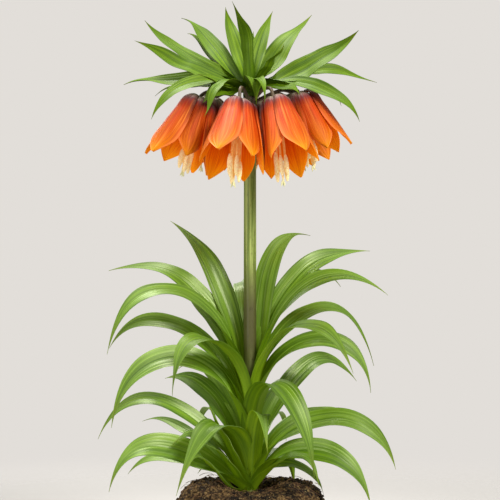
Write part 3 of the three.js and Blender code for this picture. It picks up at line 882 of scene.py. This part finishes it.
@dataclass(frozen=True)
class Foliage:
    """Sizes that all blades share, and the surface of a blade.

    Folds and twists are degrees, and places along the blade are shares of its length.
    """

    root_reach: float = 6.2
    root_share: float = 0.84
    widest_at: float = 0.48
    drawn_out: float = 0.4
    rolled_at: float = 0.45
    tip_twist: float = 24.0
    tip_bend: float = 1.8
    root_fold: float = 38.0
    blade_fold: float = 12.0
    crease: float = 0.012
    edge_wave: float = 1.2
    edge_waves: float = 1.6
    fine_rib: float = 0.16
    fine_ribs: float = 3.5
    groove: float = 0.35
    groove_width: float = 0.09
    ripple: float = 0.35
    ripples: float = 4.3
    rib: float = 1.0
    edge: float = 0.36
    crowded: float = 1.12
    rows: int = 40
    columns: int = 21

    def width_share(self, t: Array) -> Array:
        """Share of the full width: it grows as a quarter sine to the widest place, then tapers to the point.

        Args:
            t: shares of the blade's length.

        Returns:
            Shares of its width, in the same shape.
        """
        below = blend(self.root_share, 1.0, np.sin(0.5 * math.pi * np.minimum(t / self.widest_at, 1.0)))
        beyond = np.clip((t - self.widest_at) / (1.0 - self.widest_at), 0.0, 1.0)
        taper = (1.0 - beyond**2) ** 1.1 * (1.0 - self.drawn_out * smoothstep(beyond, 0.45, 0.95))
        return np.where(t < self.widest_at, below, np.maximum(0.012, taper))

    def midrib(self, blade: Blade, t: Array) -> tuple[Array, Array]:
        """The cubic through the blade's four points, moved sideways by its sway times the share squared.

        Args:
            blade: the leaf's own sizes.
            t: shares of the blade's length, shape (rows,).

        Returns:
            Points of the midrib, shape (rows, 3), and the level direction square to the blade's plane.
        """
        points = np.array([(self.root_reach, blade.root), blade.third, blade.two_thirds, blade.tip], float)
        weights = np.stack([
            -4.5 * (t - 1 / 3) * (t - 2 / 3) * (t - 1),
            13.5 * t * (t - 2 / 3) * (t - 1),
            -13.5 * t * (t - 1 / 3) * (t - 1),
            4.5 * t * (t - 1 / 3) * (t - 2 / 3),
        ], axis=1)
        line = weights @ points
        azimuth = math.radians(blade.azimuth)
        outward = np.array([math.cos(azimuth), math.sin(azimuth), 0.0])
        sideways = np.array([-math.sin(azimuth), math.cos(azimuth), 0.0])
        sway = (blade.sway * t * t)[:, None] * sideways
        return line[:, :1] * outward + sway + line[:, 1:] * np.array([0.0, 0.0, 1.0]), sideways

    def grow(self, blade: Blade, index: int, skin: Skin, tone: float) -> None:
        """Adds one blade to a skin.

        Across the midrib lies a folded strip: its height over the midrib is the fold times the distance from
        the midrib, rounded at the middle, plus a slow wave that lifts one margin while it lowers the other,
        plus fine parallel ribs.

        Args:
            blade: the leaf's own sizes.
            index: its place in the table, which sets where its waves start.
            skin: what it is added to.
            tone: a shade of its own, from 0 to 1.
        """
        t = 1.0 - (1.0 - np.linspace(0.0, 1.0, self.rows)) ** self.crowded
        centre, sideways = self.midrib(blade, t)
        along = unit(np.gradient(centre, t, axis=0))
        level = unit(sideways - (along @ sideways)[:, None] * along)
        twist = self.tip_twist * math.sin(2.7 * index) * smoothstep(t, 0.55, 1.0)
        roll = np.radians(blade.roll * smoothstep(t, 0.0, self.rolled_at) + twist)[:, None]
        across = level * np.cos(roll) + np.cross(along, level) * np.sin(roll)
        upper = np.cross(along, across)
        bend = np.sin(math.tau * np.clip(2.0 * t - 1.0, 0.0, 1.0))
        centre = centre + (self.tip_bend * math.sin(1.9 * index + 0.5) * bend)[:, None] * upper

        half = 0.5 * blade.width * self.width_share(t)
        fold = np.radians(blend(self.root_fold, self.blade_fold, np.minimum(1.0, t / self.widest_at)))
        wave = self.edge_wave * np.sin(math.tau * self.edge_waves * t + index) * np.minimum(1.0, half / 6)
        side = np.sin(np.linspace(-0.5, 0.5, self.columns) * math.pi)
        size = np.abs(side)
        folded = (np.sqrt(side**2 + self.crease) - 0.11) / 0.896  # 0 at the midrib, 1 at the margin
        ribs = self.fine_rib * np.cos(math.tau * self.fine_ribs * size) * (1.0 - size**4)
        ribs = ribs - self.groove * np.exp(-((side / self.groove_width) ** 2))
        ripple = self.ripple * np.sin(math.tau * self.ripples * t + 2.0 * index)[:, None]
        ripple = ripple * np.sign(side) * size**3
        lift = folded * (half * np.sin(fold))[:, None] + side * wave[:, None]
        lift = lift + (ribs + ripple) * np.minimum(1.0, half / 9)[:, None]
        depth = blend(self.rib, self.edge, size**0.7) * np.minimum(1.0, 0.35 + half / 4)[:, None]
        spread = side * (half * np.cos(fold))[:, None]

        flat = centre[:, None] + spread[..., None] * across[:, None]
        above, below = (flat + (lift - drop)[..., None] * upper[:, None] for drop in (0.0, depth))
        rings = np.concatenate([above, below[:, ::-1]], axis=1)
        marks = np.concatenate([side, side[::-1]])
        slots = np.repeat([1, 2], self.columns)
        skin.add_rings(rings, Cap.BLADE, slots, across=marks, along=t[:, None], tone=tone)


@dataclass(frozen=True)
class Stem:
    """The leafy stem: a slightly tapered, faintly ribbed stalk with all its lower leaves."""

    foot: float = 62.3
    soil: float = 76.0
    top: float = 461.0
    foot_radius: float = 6.6
    top_radius: float = 6.2
    end_chamfer: float = 0.92
    flute: float = 0.018
    flutes: int = 6
    flute_turn: float = 0.004
    rows: int = 90
    sides: int = 36
    seed: int = 7
    foliage: Foliage = Foliage()

    def build(self) -> Thing:
        """The stem's radius falls from foot to top, less shallow flutes. The leaves are rooted in it.

        Returns:
            The stem with its leaves.
        """
        skin = Skin()
        height = np.concatenate([[self.foot], np.linspace(self.foot, self.top, self.rows), [self.top]])
        radius = blend(self.foot_radius, self.top_radius, smoothstep(height, self.soil, self.top))
        radius[[0, -1]] = self.end_chamfer * radius[[0, -1]]
        rings = revolved(np.stack([radius, height], axis=1), self.sides)
        turn = self.flutes * angles_round(self.sides) + self.flute_turn * height[:, None] + 0.6
        rings[..., :2] *= (1.0 - self.flute * (1.0 + np.cos(turn)))[..., None]
        skin.add_rings(rings, Cap.POLE, 0, across=0.0, along=0.5, tone=0.5)
        tones = np.random.default_rng(self.seed).random(len(LOWER_BLADES))
        for index, blade in enumerate(LOWER_BLADES):
            self.foliage.grow(blade, index, skin, tones[index])
        materials = (
            STEM_SKIN.material("stem_skin"),
            UPPER_LEAF.material("leaf_upper"),
            UNDER_LEAF.material("leaf_under"),
        )
        return skin.piece("stem_and_leaves", materials, "leaf", "leafy_stem")


@dataclass(frozen=True)
class Crown:
    """The tuft over the flowers: leaves on the short end of the axis."""

    foot: float = 473.6
    radius: float = 7.0
    height: float = 15.0
    core: tuple[tuple[float, float], ...] = (
        (0.9, 0.0), (1.0, 0.0), (1.0, 0.3), (0.95, 0.6), (0.7, 0.85), (0.4, 1.0),
    )
    sides: int = 24
    seed: int = 11
    foliage: Foliage = Foliage()

    def build(self) -> Thing:
        """A short rounded core, turned from shares of its radius and height, with the leaves rooted in it.

        Returns:
            The tuft.
        """
        skin = Skin()
        rings = revolved(np.array(self.core) * (self.radius, self.height) + (0.0, self.foot), self.sides)
        skin.add_rings(rings, Cap.POLE, 1, across=0.5, along=0.2, tone=0.5)
        tones = np.random.default_rng(self.seed).random(len(CROWN_BLADES))
        for index, blade in enumerate(CROWN_BLADES):
            self.foliage.grow(blade, index, skin, tones[index])
        materials = (
            STEM_SKIN.material("crown_core"),
            UPPER_CROWN.material("crown_upper"),
            UNDER_CROWN.material("crown_under"),
        )
        return skin.piece("crown_tuft", materials, "crown_leaf", "crown_leaves")


# ---- Flowers --------------------------------------------------------------------------------------
@dataclass(frozen=True)
class Bell:
    """Where a bell hangs: azimuth, height of its top, lean outwards, turn of its tepals, and sizes.

    The sizes of the bell and of its stamens are shares of the common ones. The walls are the azimuths of the
    upright planes between it and the next bells. The reaches are the shares of the length of its six tepals.
    """

    azimuth: float
    top: float
    lean: float
    turn: float
    size: float
    stamens: float
    wall_before: float
    wall_after: float
    reaches: tuple[float, ...] = (1.0, 0.98, 1.02, 0.97, 1.0, 0.98)

    def leaned(self, vectors: Array) -> Array:
        """Vectors tipped outwards by the lean.

        Args:
            vectors: shape (..., 3), with the bell's axis as local -Z and outwards as +X.

        Returns:
            The tipped vectors, in the same shape.
        """
        c, s = math.cos(math.radians(self.lean)), math.sin(math.radians(self.lean))
        x, y, z = vectors[..., 0], vectors[..., 1], vectors[..., 2]
        return np.stack([x * c - z * s, y, x * s + z * c], axis=-1)

    def placed(self, points: Array) -> Array:
        """Points of the leaning bell where it hangs, in the frame that turns with its azimuth."""
        return self.leaned(points) + np.array([RING_RADIUS, 0.0, self.top])

    def hung(self, points: Array) -> Array:
        """Points of the leaning bell where it hangs on the plant."""
        return turned_about_z(self.placed(points), self.azimuth)

    def bent_from_walls(self, places: Array, softness: float, clearance: float) -> Array:
        """Bends placed points back from the upright planes where this bell presses on the next ones.

        A distance d under the softness w becomes c + (w - c) exp((d - w) / (w - c)), with c the clearance.

        Args:
            places: placed points, shape (..., 3).
            softness: how far from a plane the bending starts.
            clearance: how near to a plane a point may come.

        Returns:
            The bent points, in the same shape.
        """
        for wall in (self.wall_before, self.wall_after):
            turn = math.radians(wall - self.azimuth)
            inwards = np.array([math.sin(abs(turn)), -math.copysign(1.0, turn) * math.cos(turn), 0.0])
            distance = places @ inwards
            room = softness - clearance
            bent = clearance + room * np.exp(np.minimum(0.0, distance - softness) / room)
            move = np.where(distance > softness, 0.0, bent - distance)
            places = places + move[..., None] * inwards
        return places


RING_RADIUS = 52.0
BELLS = (
    Bell(194, 468, 22, 38, 0.98, 0.92, 167, 226, (1.0, 0.87, 1.0, 0.98, 0.96, 1.0)),
    Bell(258, 460, 26, -10, 1.0, 1.0, 226, 280),
    Bell(297, 463, 22, 3, 1.0, 1.0, 280, 319),
    Bell(340, 472, 20, 4, 0.92, 0.9, 319, 367),
    Bell(34, 473, 21, 26, 0.95, 0.88, 7, 60),
    Bell(87, 474, 23, -4, 1.0, 0.9, 60, 113),
    Bell(140, 473, 20, 12, 0.95, 0.88, 113, 167),
)


@dataclass(frozen=True)
class Flower:
    """One nodding bell of six tepals in two layers, with its stamens and pistil.

    Depths are taken along the bell's axis from its top, and pairs give the start and the end of a line.
    """

    bell: Bell
    number: int
    line: tuple[tuple[float, float, float], ...] = (
        (2.6, 1.2, 1.9), (8.2, -3.0, 4.8), (14.4, 0.4, 8.6), (20.4, 17, 12.8), (26.2, 36, 16.0),
        (31.0, 53, 14.2), (33.8, 62.5, 7.0), (35.6, 69, 0.8),
    )
    layer: float = 1.0
    droop: float = 3.0
    hump: tuple[float, float] = (1.5, 0.4)
    keel: float = 1.5
    flute: float = 0.3
    flutes: float = 2.6
    curl: float = 1.3
    thickness: float = 0.6
    softness: float = 5.0
    clearances: tuple[float, float] = (0.9, 2.6)
    rows: int = 36
    columns: int = 17
    disc: tuple[tuple[float, float], ...] = ((5.2, -4.6), (6.4, -2.2), (3.4, 0.6))
    seat: tuple[tuple[float, float], ...] = ((3.0, -7.3), (3.2, -6.6), (3.2, -4.9))
    uprightness: float = 0.17
    drops: tuple[float, ...] = (0, 4, -3, 3, -4, 1)
    filament_depths: tuple[float, float] = (6.0, 56.0)
    filament_reaches: tuple[float, float] = (1.8, 5.2)
    filament_radii: tuple[float, float] = (1.2, 1.0)
    filament_bow: float = 1.2
    anther_depths: tuple[float, float] = (54.0, 74.0)
    anther_radius: float = 2.9
    anther_groove: float = 0.22
    style_depth: float = 79.0
    style_radii: tuple[float, float] = (1.1, 0.9)
    stigma_depths: tuple[float, float] = (78.0, 83.2)
    stigma_radius: float = 0.9

    def tepal(self, index: int, skin: Skin) -> None:
        """Adds one tepal.

        Its middle line is a smooth curve of radius and depth under the bell's top, and the third number of
        the line is half its width. Across it the sheet follows the bell's round, and stands out along the
        line's normal by a hump that fades from base to point, a keel, shallow flutes and curled margins.

        Args:
            index: 0 to 5; even tepals lie outside.
            skin: what it is added to.
        """
        outer = index % 2 == 0
        table = np.array(self.line) * self.bell.size
        knots = lengths_along(table[:, :2])
        t = np.linspace(0.0, 1.0, self.rows)
        at = t * knots[-1]
        reach = 1.0 + (self.bell.reaches[index] - 1.0) * smoothstep(t, 0.2, 1.0)
        radius, depth, half = smooth_rows(table, knots, at).T
        radius, depth, half = radius * (0.4 + 0.6 * reach), depth * reach, np.maximum(half, 0.5)
        share = np.interp(at, knots, np.linspace(0.0, 1.0, len(knots)))
        slope = unit(np.stack([np.gradient(radius, at), np.gradient(depth, at)], axis=1))
        out, up = slope[:, 1:2], slope[:, :1]
        side = np.sin(np.linspace(-0.5, 0.5, self.columns) * math.pi)
        angle = math.radians(self.bell.turn) + math.tau * index / 6 + side * (half / radius)[:, None]
        flare = 0.0 if outer else -self.droop * share**3
        swell = blend(*self.hump, smoothstep(t, 0.05, 0.35)) * (1.0 - 0.7 * smoothstep(t, 0.7, 1.0))
        keel = self.keel * (0.45 - np.sqrt(side**2 + 0.006))
        keel = keel * (smoothstep(t, 0.1, 0.3) - 0.5 * smoothstep(t, 0.75, 1.0))[:, None]
        flutes = self.flute * np.cos(math.tau * self.flutes * side + 1.3 * index)
        flutes = flutes * np.sin(math.pi * t)[:, None] * (1.0 - side**4)
        curl = self.curl * np.sin(5.0 * t + 1.7 * index)[:, None] * side**3 * smoothstep(t, 0.3, 0.8)[:, None]
        rise = swell[:, None] * (0.45 - side**2) + keel + flutes + curl
        rise = rise + (1 if outer else -1) * self.layer * np.minimum(1.0, 3 * share)[:, None]
        places = around_z((radius + flare)[:, None] + rise * out, rise * up - depth[:, None], angle)
        normal = self.bell.leaned(around_z(out, up, angle))
        clearance = self.clearances[0 if outer else 1]
        placed = self.bell.bent_from_walls(self.bell.placed(places), self.softness, clearance)
        half_thick = 0.5 * self.thickness * blend(1.0, 0.5, np.abs(side) ** 3)[None, :, None]
        sheets = [placed + half_thick * normal, (placed - half_thick * normal)[:, ::-1]]
        rings = turned_about_z(np.concatenate(sheets, axis=1), self.bell.azimuth)
        marks = np.concatenate([side, side[::-1]])
        slots = np.repeat([0, 1], self.columns)
        tone = (0.37 * index + 0.61 * self.number) % 1.0
        skin.add_rings(rings, Cap.BLADE, slots, across=marks, along=t[:, None], tone=tone)

    def build_bell(self, materials: Sequence[Material]) -> Thing:
        """Six tepals and the small disc that they hang from.

        Args:
            materials: of the outer and the inner face of a tepal.

        Returns:
            The bell.
        """
        skin = Skin()
        for index in range(6):
            self.tepal(index, skin)
        rings = self.bell.hung(revolved(np.array(self.disc), 20))
        skin.add_rings(rings, Cap.POLE, 0, across=0.0, along=0.02, tone=0.5)
        return skin.piece(f"flower_{self.number}", materials, "tepal", f"bell_{self.number}")

    def hung(self, reach: Array, depth: Array, azimuth: float) -> Array:
        """A line inside the bell, bent back towards the upright by a share of its depth under the seat.

        Args:
            reach: distances from the bell's axis.
            depth: depths under the bell's top.
            azimuth: about the bell's axis, in radians.

        Returns:
            Points of the line on the plant, shape (rows, 3).
        """
        places = around_z(reach, -depth, azimuth)
        places[..., 0] -= self.uprightness * (depth - self.filament_depths[0])
        return self.bell.hung(places)

    def build_stamens(self, materials: Sequence[Material]) -> Thing:
        """Six filaments with long anthers, and a pistil whose end splits in three.

        A filament is a tapering tube. Its anther is a long rounded lobe with a groove down its middle.

        Args:
            materials: of the filaments and of the anthers.

        Returns:
            The stamens and the pistil of the bell.
        """
        skin = Skin()
        skin.add_rings(self.bell.hung(revolved(np.array(self.seat), 16)), Cap.POLE, 0, along=0.0)
        share = np.linspace(0.0, 1.0, 14)
        size = self.bell.stamens
        start, end = self.filament_depths
        high, low = self.anther_depths
        grooved = 1.0 - self.anther_groove * np.abs(np.cos(angles_round(12))) ** 6
        thick = self.anther_radius * np.maximum(0.05, np.sin(math.pi * np.clip(share, 0.02, 0.98))) ** 0.4
        for k, drop in enumerate(self.drops):
            azimuth = math.tau * (k + 0.5) / 6
            bow = self.filament_bow * np.sin(math.pi * share + 0.4 * k)
            reach = blend(*self.filament_reaches, share) + bow
            filament = self.hung(reach, blend(start, end * size + drop, share), azimuth)
            skin.add_rings(tube(filament, blend(*self.filament_radii, share), 8), Cap.POLE, 0, along=0.3)
            swing = self.filament_reaches[1] + (0.2 + 0.9 * math.sin(2.1 * k + self.number)) * share + 0.3
            lobe = self.hung(swing, blend(high * size + drop, low * size + drop, share), azimuth)
            skin.add_rings(tube(lobe, thick[:, None] * grooved, 12), Cap.POLE, 1, along=0.3)
        style = self.hung(blend(0.0, 0.6, share), blend(start, self.style_depth * size, share), 0.0)
        skin.add_rings(tube(style, blend(*self.style_radii, share), 8), Cap.POLE, 0, along=share[:, None])
        high, low = self.stigma_depths
        for k in range(3):
            azimuth = math.tau * k / 3 + 0.3
            lobe = self.hung(0.6 + 2.0 * share**1.4, blend(high * size, low * size, share), azimuth)
            skin.add_rings(tube(lobe, self.stigma_radius * (1.02 - share**3), 8), Cap.POLE, 0, along=1.0)
        return skin.piece(f"stamens_and_pistil_{self.number}", materials, "stamen", f"stamens_{self.number}")


@dataclass(frozen=True)
class Stalks:
    """Knob on the stem's top, with one arched stalk to each bell.

    A stalk comes straight down on its bell from the neck, and ends at the gap over the bell's top.
    """

    foot: float = 461.3
    height: float = 12.0
    knob: tuple[tuple[float, float], ...] = (
        (5.8, 0.0), (6.2, 0.1), (6.9, 2.6), (7.4, 4.8), (7.3, 8.0), (7.0, 11.8), (6.6, 12.0),
    )
    root_share: float = 0.45
    radius: float = 1.7
    arch: float = 478.5
    neck: float = 5.6
    gap: float = 0.9
    swelling: float = 0.16
    rows: int = 36
    sides: int = 14

    def build(self) -> Thing:
        """Each stalk is a round tube on a smooth curve that rises, arches over and comes down on its bell.

        Returns:
            The knob with its stalks.
        """
        skin = Skin()
        skin.add_rings(revolved(np.array(self.knob) + (0.0, self.foot), 32), Cap.POLE, 0, along=0.0)
        root = self.foot + self.root_share * self.height
        share = np.linspace(0.0, 1.0, self.rows)
        radii = self.radius * (1.0 + self.swelling * smoothstep(share, 0.86, 1.0))
        for bell in BELLS:
            lean = math.radians(bell.lean)
            rise = [[3, root], [18, blend(root, self.arch, 0.6)], [35, self.arch], [45, self.arch - 2]]
            fall = [
                [RING_RADIUS - over * math.sin(lean), bell.top + over * math.cos(lean)]
                for over in (self.neck, self.gap)
            ]
            line = np.array([*rise, *fall])
            knots = lengths_along(line)
            reach, height = smooth_rows(line, knots, share * knots[-1]).T
            path = turned_about_z(around_z(reach, height, 0.0), bell.azimuth)
            skin.add_rings(tube(path, radii, self.sides), Cap.POLE, 0, along=0.5)
        materials = (STALK_SKIN.material("stalk_skin"),)
        return skin.piece("flower_stalks_fine", materials, "stalk", "flower_stalks")


# ---- Soil -----------------------------------------------------------------------------------------
@dataclass(frozen=True)
class Soil:
    """The root ball: crumbly soil with fine fibres, flat underneath, hollow round the bulb.

    The mouth is the row of the profile where the skin turns down into the stem's hole. Clods, crumbs and
    grains each have the height of their relief and the size of their lattice.
    """

    profile: tuple[tuple[float, float], ...] = (
        (0.0, 0.0), (66, 0.0), (77, 7), (83, 22), (84, 38), (81, 54), (74, 68), (62, 77), (48, 81),
        (34, 81.5), (22, 80.5), (13, 77.5), (7.1, 75.4), (7.1, 62.5), (14.4, 54.4), (26.4, 47.3),
        (33.4, 37.1), (34.4, 26), (29.3, 14.7), (16, 8.6), (0.0, 8.6),
    )
    mouth: int = 12
    widest: float = 84.0
    hummock: float = 8.0
    clod: float = 1.7
    clod_sizes: tuple[float, float] = (19.0, 8.0)
    crumb: float = 1.3
    crumb_size: float = 4.2
    grain: float = 0.8
    grain_size: float = 1.9
    crumbs: int = 2600
    crumb_seed: int = 21
    largest_crumb: float = 2.6
    fibres: int = 260
    fibre_seed: int = 33
    fibre_lengths: tuple[float, float] = (6.0, 20.0)
    fibre_radii: tuple[float, float] = (0.16, 0.34)
    sides: int = 420
    rows: int = 190
    grit: Grit = Grit(5)

    def skin_point(self, radius: Array, height: Array, angle: Array) -> Array:
        """Points of the heaped ball: clods, crumbs and grains stand out from the smooth profile.

        Args:
            radius: distances from the axis, of any shape.
            height: heights over the underside, in that shape.
            angle: angles about the axis in radians, in that shape.

        Returns:
            Points of that shape + (3,).
        """
        ring = smoothstep(radius, 14, 40) * (1.0 - smoothstep(radius, 62, 84))
        outside = smoothstep(height, 0.5, 5.0) * smoothstep(radius, 7.6, 12)
        lump = self.hummock * np.abs(np.cos(angle)) * ring
        place = around_z(radius, height, angle)
        clods = sum(self.clod * self.grit.at(place, size) for size in self.clod_sizes)
        crumbs = 1.0 - 2.0 * np.abs(self.grit.at(place + 31.0, self.crumb_size))
        grains = self.grit.at(place + 57.0, self.grain_size)
        relief = (clods + self.crumb * crumbs + self.grain * grains - 1.3) * outside
        level = unit(np.stack([(radius / self.widest) ** 2, 0.35 + 0.0 * radius], axis=-1))
        push = relief[..., None] * level
        raised = height + push[..., 1] * smoothstep(height, 55, 72) + lump
        return around_z(radius + push[..., 0], raised, angle)

    def build(self) -> Thing:
        """The ball's skin, from the middle of its underside over the top, down the hole and round the bulb.

        Returns:
            The ball.
        """
        table = np.array(self.profile, float)
        knots = lengths_along(table)
        at = np.concatenate([np.linspace(0.5, knots[self.mouth], self.rows), knots[self.mouth + 1 : -1]])
        radius, height = (np.interp(at, knots, column)[:, None] for column in table.T)
        radius, height, angle = np.broadcast_arrays(radius, height, angles_round(self.sides))
        inner = (np.arange(len(at)) >= self.rows)[:, None, None]
        rings = np.where(inner, around_z(radius, height, angle), self.skin_point(radius, height, angle))
        skin = Skin()
        skin.add_rings(rings, Cap.POLE, 0)
        return skin.piece("soil_ball", (SOIL.material("soil"),), "soil", "root_ball")

    def scattered(self, count: int, seed: int) -> tuple[Array, Array, np.random.Generator]:
        """Random points on the top and sides of the ball.

        Args:
            count: how many.
            seed: of the random numbers.

        Returns:
            The points, the outward directions there, and the generator to draw more from.
        """
        rng = np.random.default_rng(seed)
        table = np.array(self.profile[1 : self.mouth], float)
        knots = lengths_along(table)
        at = knots[-1] * rng.random(count) ** 0.75
        angle = rng.uniform(0.0, math.tau, count)
        before, (radius, height), after = (
            np.array([np.interp(at + step, knots, column) for column in table.T]) for step in (-1, 0, 1)
        )
        slope = unit((after - before).T)
        out = unit(around_z(slope[:, 1], -slope[:, 0], angle))
        return self.skin_point(radius, height, angle), out, rng

    def build_crumbs(self) -> Thing:
        """Loose crumbs: small boxes with pushed-in corners, half sunk in the ball's skin.

        Each is a cube with random sides and corners, turned by a random unit quaternion (w, x, y, z).

        Returns:
            All the crumbs.
        """
        count = self.crumbs
        place, _, rng = self.scattered(count, self.crumb_seed)
        cube = np.array([[x, y, z] for x in (-1, 1) for y in (-1, 1) for z in (-1, 1)], float)
        faces = np.array([[0, 1, 3, 2], [4, 6, 7, 5], [0, 4, 5, 1], [2, 3, 7, 6], [0, 2, 6, 4], [1, 5, 7, 3]])
        size = rng.gamma(2.2, 0.34, (count, 1, 1)) + 0.35
        shape = cube[None] * rng.uniform(0.45, 1.0, (count, 1, 3)) * rng.uniform(0.55, 1.0, (count, 8, 3))
        spin = unit(rng.normal(size=(count, 4)))
        w, x, y, z = spin.T
        turn = np.stack([
            1 - 2 * (y * y + z * z), 2 * (x * y - w * z), 2 * (x * z + w * y),
            2 * (x * y + w * z), 1 - 2 * (x * x + z * z), 2 * (y * z - w * x),
            2 * (x * z - w * y), 2 * (y * z + w * x), 1 - 2 * (x * x + y * y),
        ], axis=1).reshape(count, 3, 3)
        shape = shape * np.minimum(size, self.largest_crumb)
        points = place[:, None] + np.einsum("nij,nkj->nki", turn, shape)
        points[..., 2] = np.maximum(points[..., 2], 0.0)
        quads = (faces[None] + 8 * np.arange(count)[:, None, None]).reshape(-1, 4)
        skin = Skin()
        skin.add_points(points.reshape(-1, 3), quads, np.zeros(len(quads), int))
        return skin.piece("soil_crumbs", (SOIL.material("crumb"),), "soil")

    def build_fibres(self) -> Thing:
        """Fine dead roots that wander over the soil and stand up from it here and there.

        Each is a thin tube on a line that runs straight over the soil, plus a slow sideways sine and a lift.

        Returns:
            All the fibres.
        """
        places, outs, rng = self.scattered(self.fibres, self.fibre_seed)
        skin = Skin()
        share = np.linspace(0.0, 1.0, 10)
        for place, out in zip(places, outs):
            heading = unit(np.cross(out, rng.normal(size=3)))
            other = np.cross(out, heading)
            length = rng.uniform(*self.fibre_lengths)
            lift = rng.uniform(0.0, 0.5) ** 1.6 * length * np.sin(math.pi * (0.25 + 0.75 * share))
            wander = rng.uniform(-0.25, 0.25) * length * np.sin(rng.uniform(2, 5) * share + rng.uniform(0, 6))
            path = place + np.outer(length * (share - 0.3), heading)
            path = path + np.outer(wander, other) + np.outer(lift, out)
            path[:, 2] = np.maximum(path[:, 2], 0.4)
            radii = rng.uniform(*self.fibre_radii) * (1.05 - 0.6 * share)
            skin.add_rings(tube(path, radii, 5), Cap.POLE, 0, along=share[:, None])
        return skin.piece("soil_fibres", (FIBRE.material("fibre"),), "soil")


# ---- Studio ---------------------------------------------------------------------------------------
@dataclass(frozen=True)
class Lamp:
    """A soft square light."""

    name: str
    place: tuple[float, float, float]
    aim: tuple[float, float, float]
    side: float
    watts: float
    colour: Colour = (1.0, 1.0, 1.0)

    def build(self) -> None:
        """Hangs the light and turns it to what it lights."""
        light = bpy.data.lights.new(self.name, "AREA")
        light.size = self.side
        light.energy = self.watts
        light.color = self.colour
        lamp = bpy.data.objects.new(self.name, light)
        bpy.context.scene.collection.objects.link(lamp)
        lamp.location = self.place
        offset = np.array(self.aim) - np.array(self.place)
        tilt = math.atan2(math.hypot(offset[0], offset[1]), -offset[2])
        lamp.rotation_euler = (tilt, 0.0, math.atan2(offset[1], offset[0]) - math.pi / 2)


@dataclass(frozen=True)
class Studio:
    """Pale floor, soft lights and the camera, in metres."""

    floor_radius: float = 0.95
    floor_thickness: float = 0.004
    air: Colour = srgb(226, 222, 217)
    air_strength: float = 0.46
    camera_distance: float = 1.5
    camera_height: float = 0.32
    view_width: float = 0.5
    sensor_width: float = 36.0
    lamps: tuple[Lamp, ...] = (
        Lamp("key", (1.1, -1.3, 1.6), (0.0, 0.0, 0.3), 0.6, 50.0),
        Lamp("top", (-0.3, 0.35, 1.9), (0.0, 0.0, 0.3), 0.7, 42.0),
        Lamp("fill", (-1.3, -1.5, 0.7), (0.0, 0.0, 0.35), 0.9, 16.0),
        Lamp("rear", (-0.7, 1.6, 1.1), (0.0, 0.0, 0.35), 1.1, 9.0),
    )

    def build(self) -> None:
        """Puts the plant in its studio."""
        self.build_floor()
        for lamp in self.lamps:
            lamp.build()
        self.build_air()
        self.build_camera()

    def build_floor(self) -> None:
        """A thin round slab, turned about the stem's axis, with its top at the underside of the soil."""
        skin = Skin()
        hub = 1e-5  # a hair wide, so that the innermost faces keep their corners
        rim, low = self.floor_radius + hub, -self.floor_thickness
        profile = np.array([[hub, 0.0], [rim, 0.0], [rim, low], [hub, low]]) / MM
        skin.add_rings(revolved(profile, 128), Cap.POLE, 0)
        mesh = bpy.data.meshes.new("floor")
        mesh.from_pydata((np.concatenate(skin.points) * MM).tolist(), [], np.concatenate(skin.quads).tolist())
        mesh.materials.append(FLOOR.material("floor"))
        floor = bpy.data.objects.new("floor", mesh)
        bpy.context.scene.collection.objects.link(floor)

    def build_air(self) -> None:
        """Light from all round, which the camera sees as plain pale air at its own strength."""
        world = bpy.data.worlds.new("studio_air")
        world.use_nodes = True
        tree = world.node_tree
        lit = tree.nodes["Background"]
        lit.inputs["Color"].default_value = (*self.air, 1.0)
        lit.inputs["Strength"].default_value = self.air_strength
        seen = tree.nodes.new("ShaderNodeBackground")
        seen.inputs["Color"].default_value = (*self.air, 1.0)
        paths = tree.nodes.new("ShaderNodeLightPath")
        either = tree.nodes.new("ShaderNodeMixShader")
        tree.links.new(paths.outputs["Is Camera Ray"], either.inputs[0])
        tree.links.new(lit.outputs[0], either.inputs[1])
        tree.links.new(seen.outputs[0], either.inputs[2])
        tree.links.new(either.outputs[0], tree.nodes["World Output"].inputs["Surface"])
        bpy.context.scene.world = world
        bpy.context.scene.view_settings.view_transform = "Standard"

    def build_camera(self) -> None:
        """A camera that looks level at the stem from the front and sees view_width across it."""
        lens = bpy.data.cameras.new("camera")
        lens.sensor_width = self.sensor_width
        lens.lens = self.sensor_width * self.camera_distance / self.view_width
        camera = bpy.data.objects.new("camera", lens)
        camera.location = (0.0, -self.camera_distance, self.camera_height)
        camera.rotation_euler = (math.pi / 2, 0.0, 0.0)
        bpy.context.scene.collection.objects.link(camera)
        bpy.context.scene.camera = camera


@dataclass(frozen=True)
class Bulb:
    """The hidden bulb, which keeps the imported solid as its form."""

    finish: PlainFinish = BULB_SKIN

    def dress(self) -> None:
        """Gives the bulb its papery skin."""
        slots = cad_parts["bulb"].data.materials
        slots.clear()
        slots.append(self.finish.material("bulb_skin"))
        log.info("bulb: keeps its solid, in a papery skin")


def main() -> None:
    """Builds the plant from the soil up, then the studio."""
    logging.basicConfig(level=logging.INFO, format="%(name)s %(message)s")
    soil = Soil()
    soil.build()
    soil.build_crumbs()
    soil.build_fibres()
    Bulb().dress()
    Stem().build()
    Crown().build()
    Stalks().build()
    tepals = (BELL_OUTSIDE.material("tepal_outside"), BELL_INSIDE.material("tepal_inside"))
    stamens = (FILAMENT.material("filament"), ANTHER.material("anther"))
    for number, bell in enumerate(BELLS, start=1):
        flower = Flower(bell, number)
        flower.build_bell(tepals)
        flower.build_stamens(stamens)
    Studio().build()


if __name__ == "__main__":
    main()
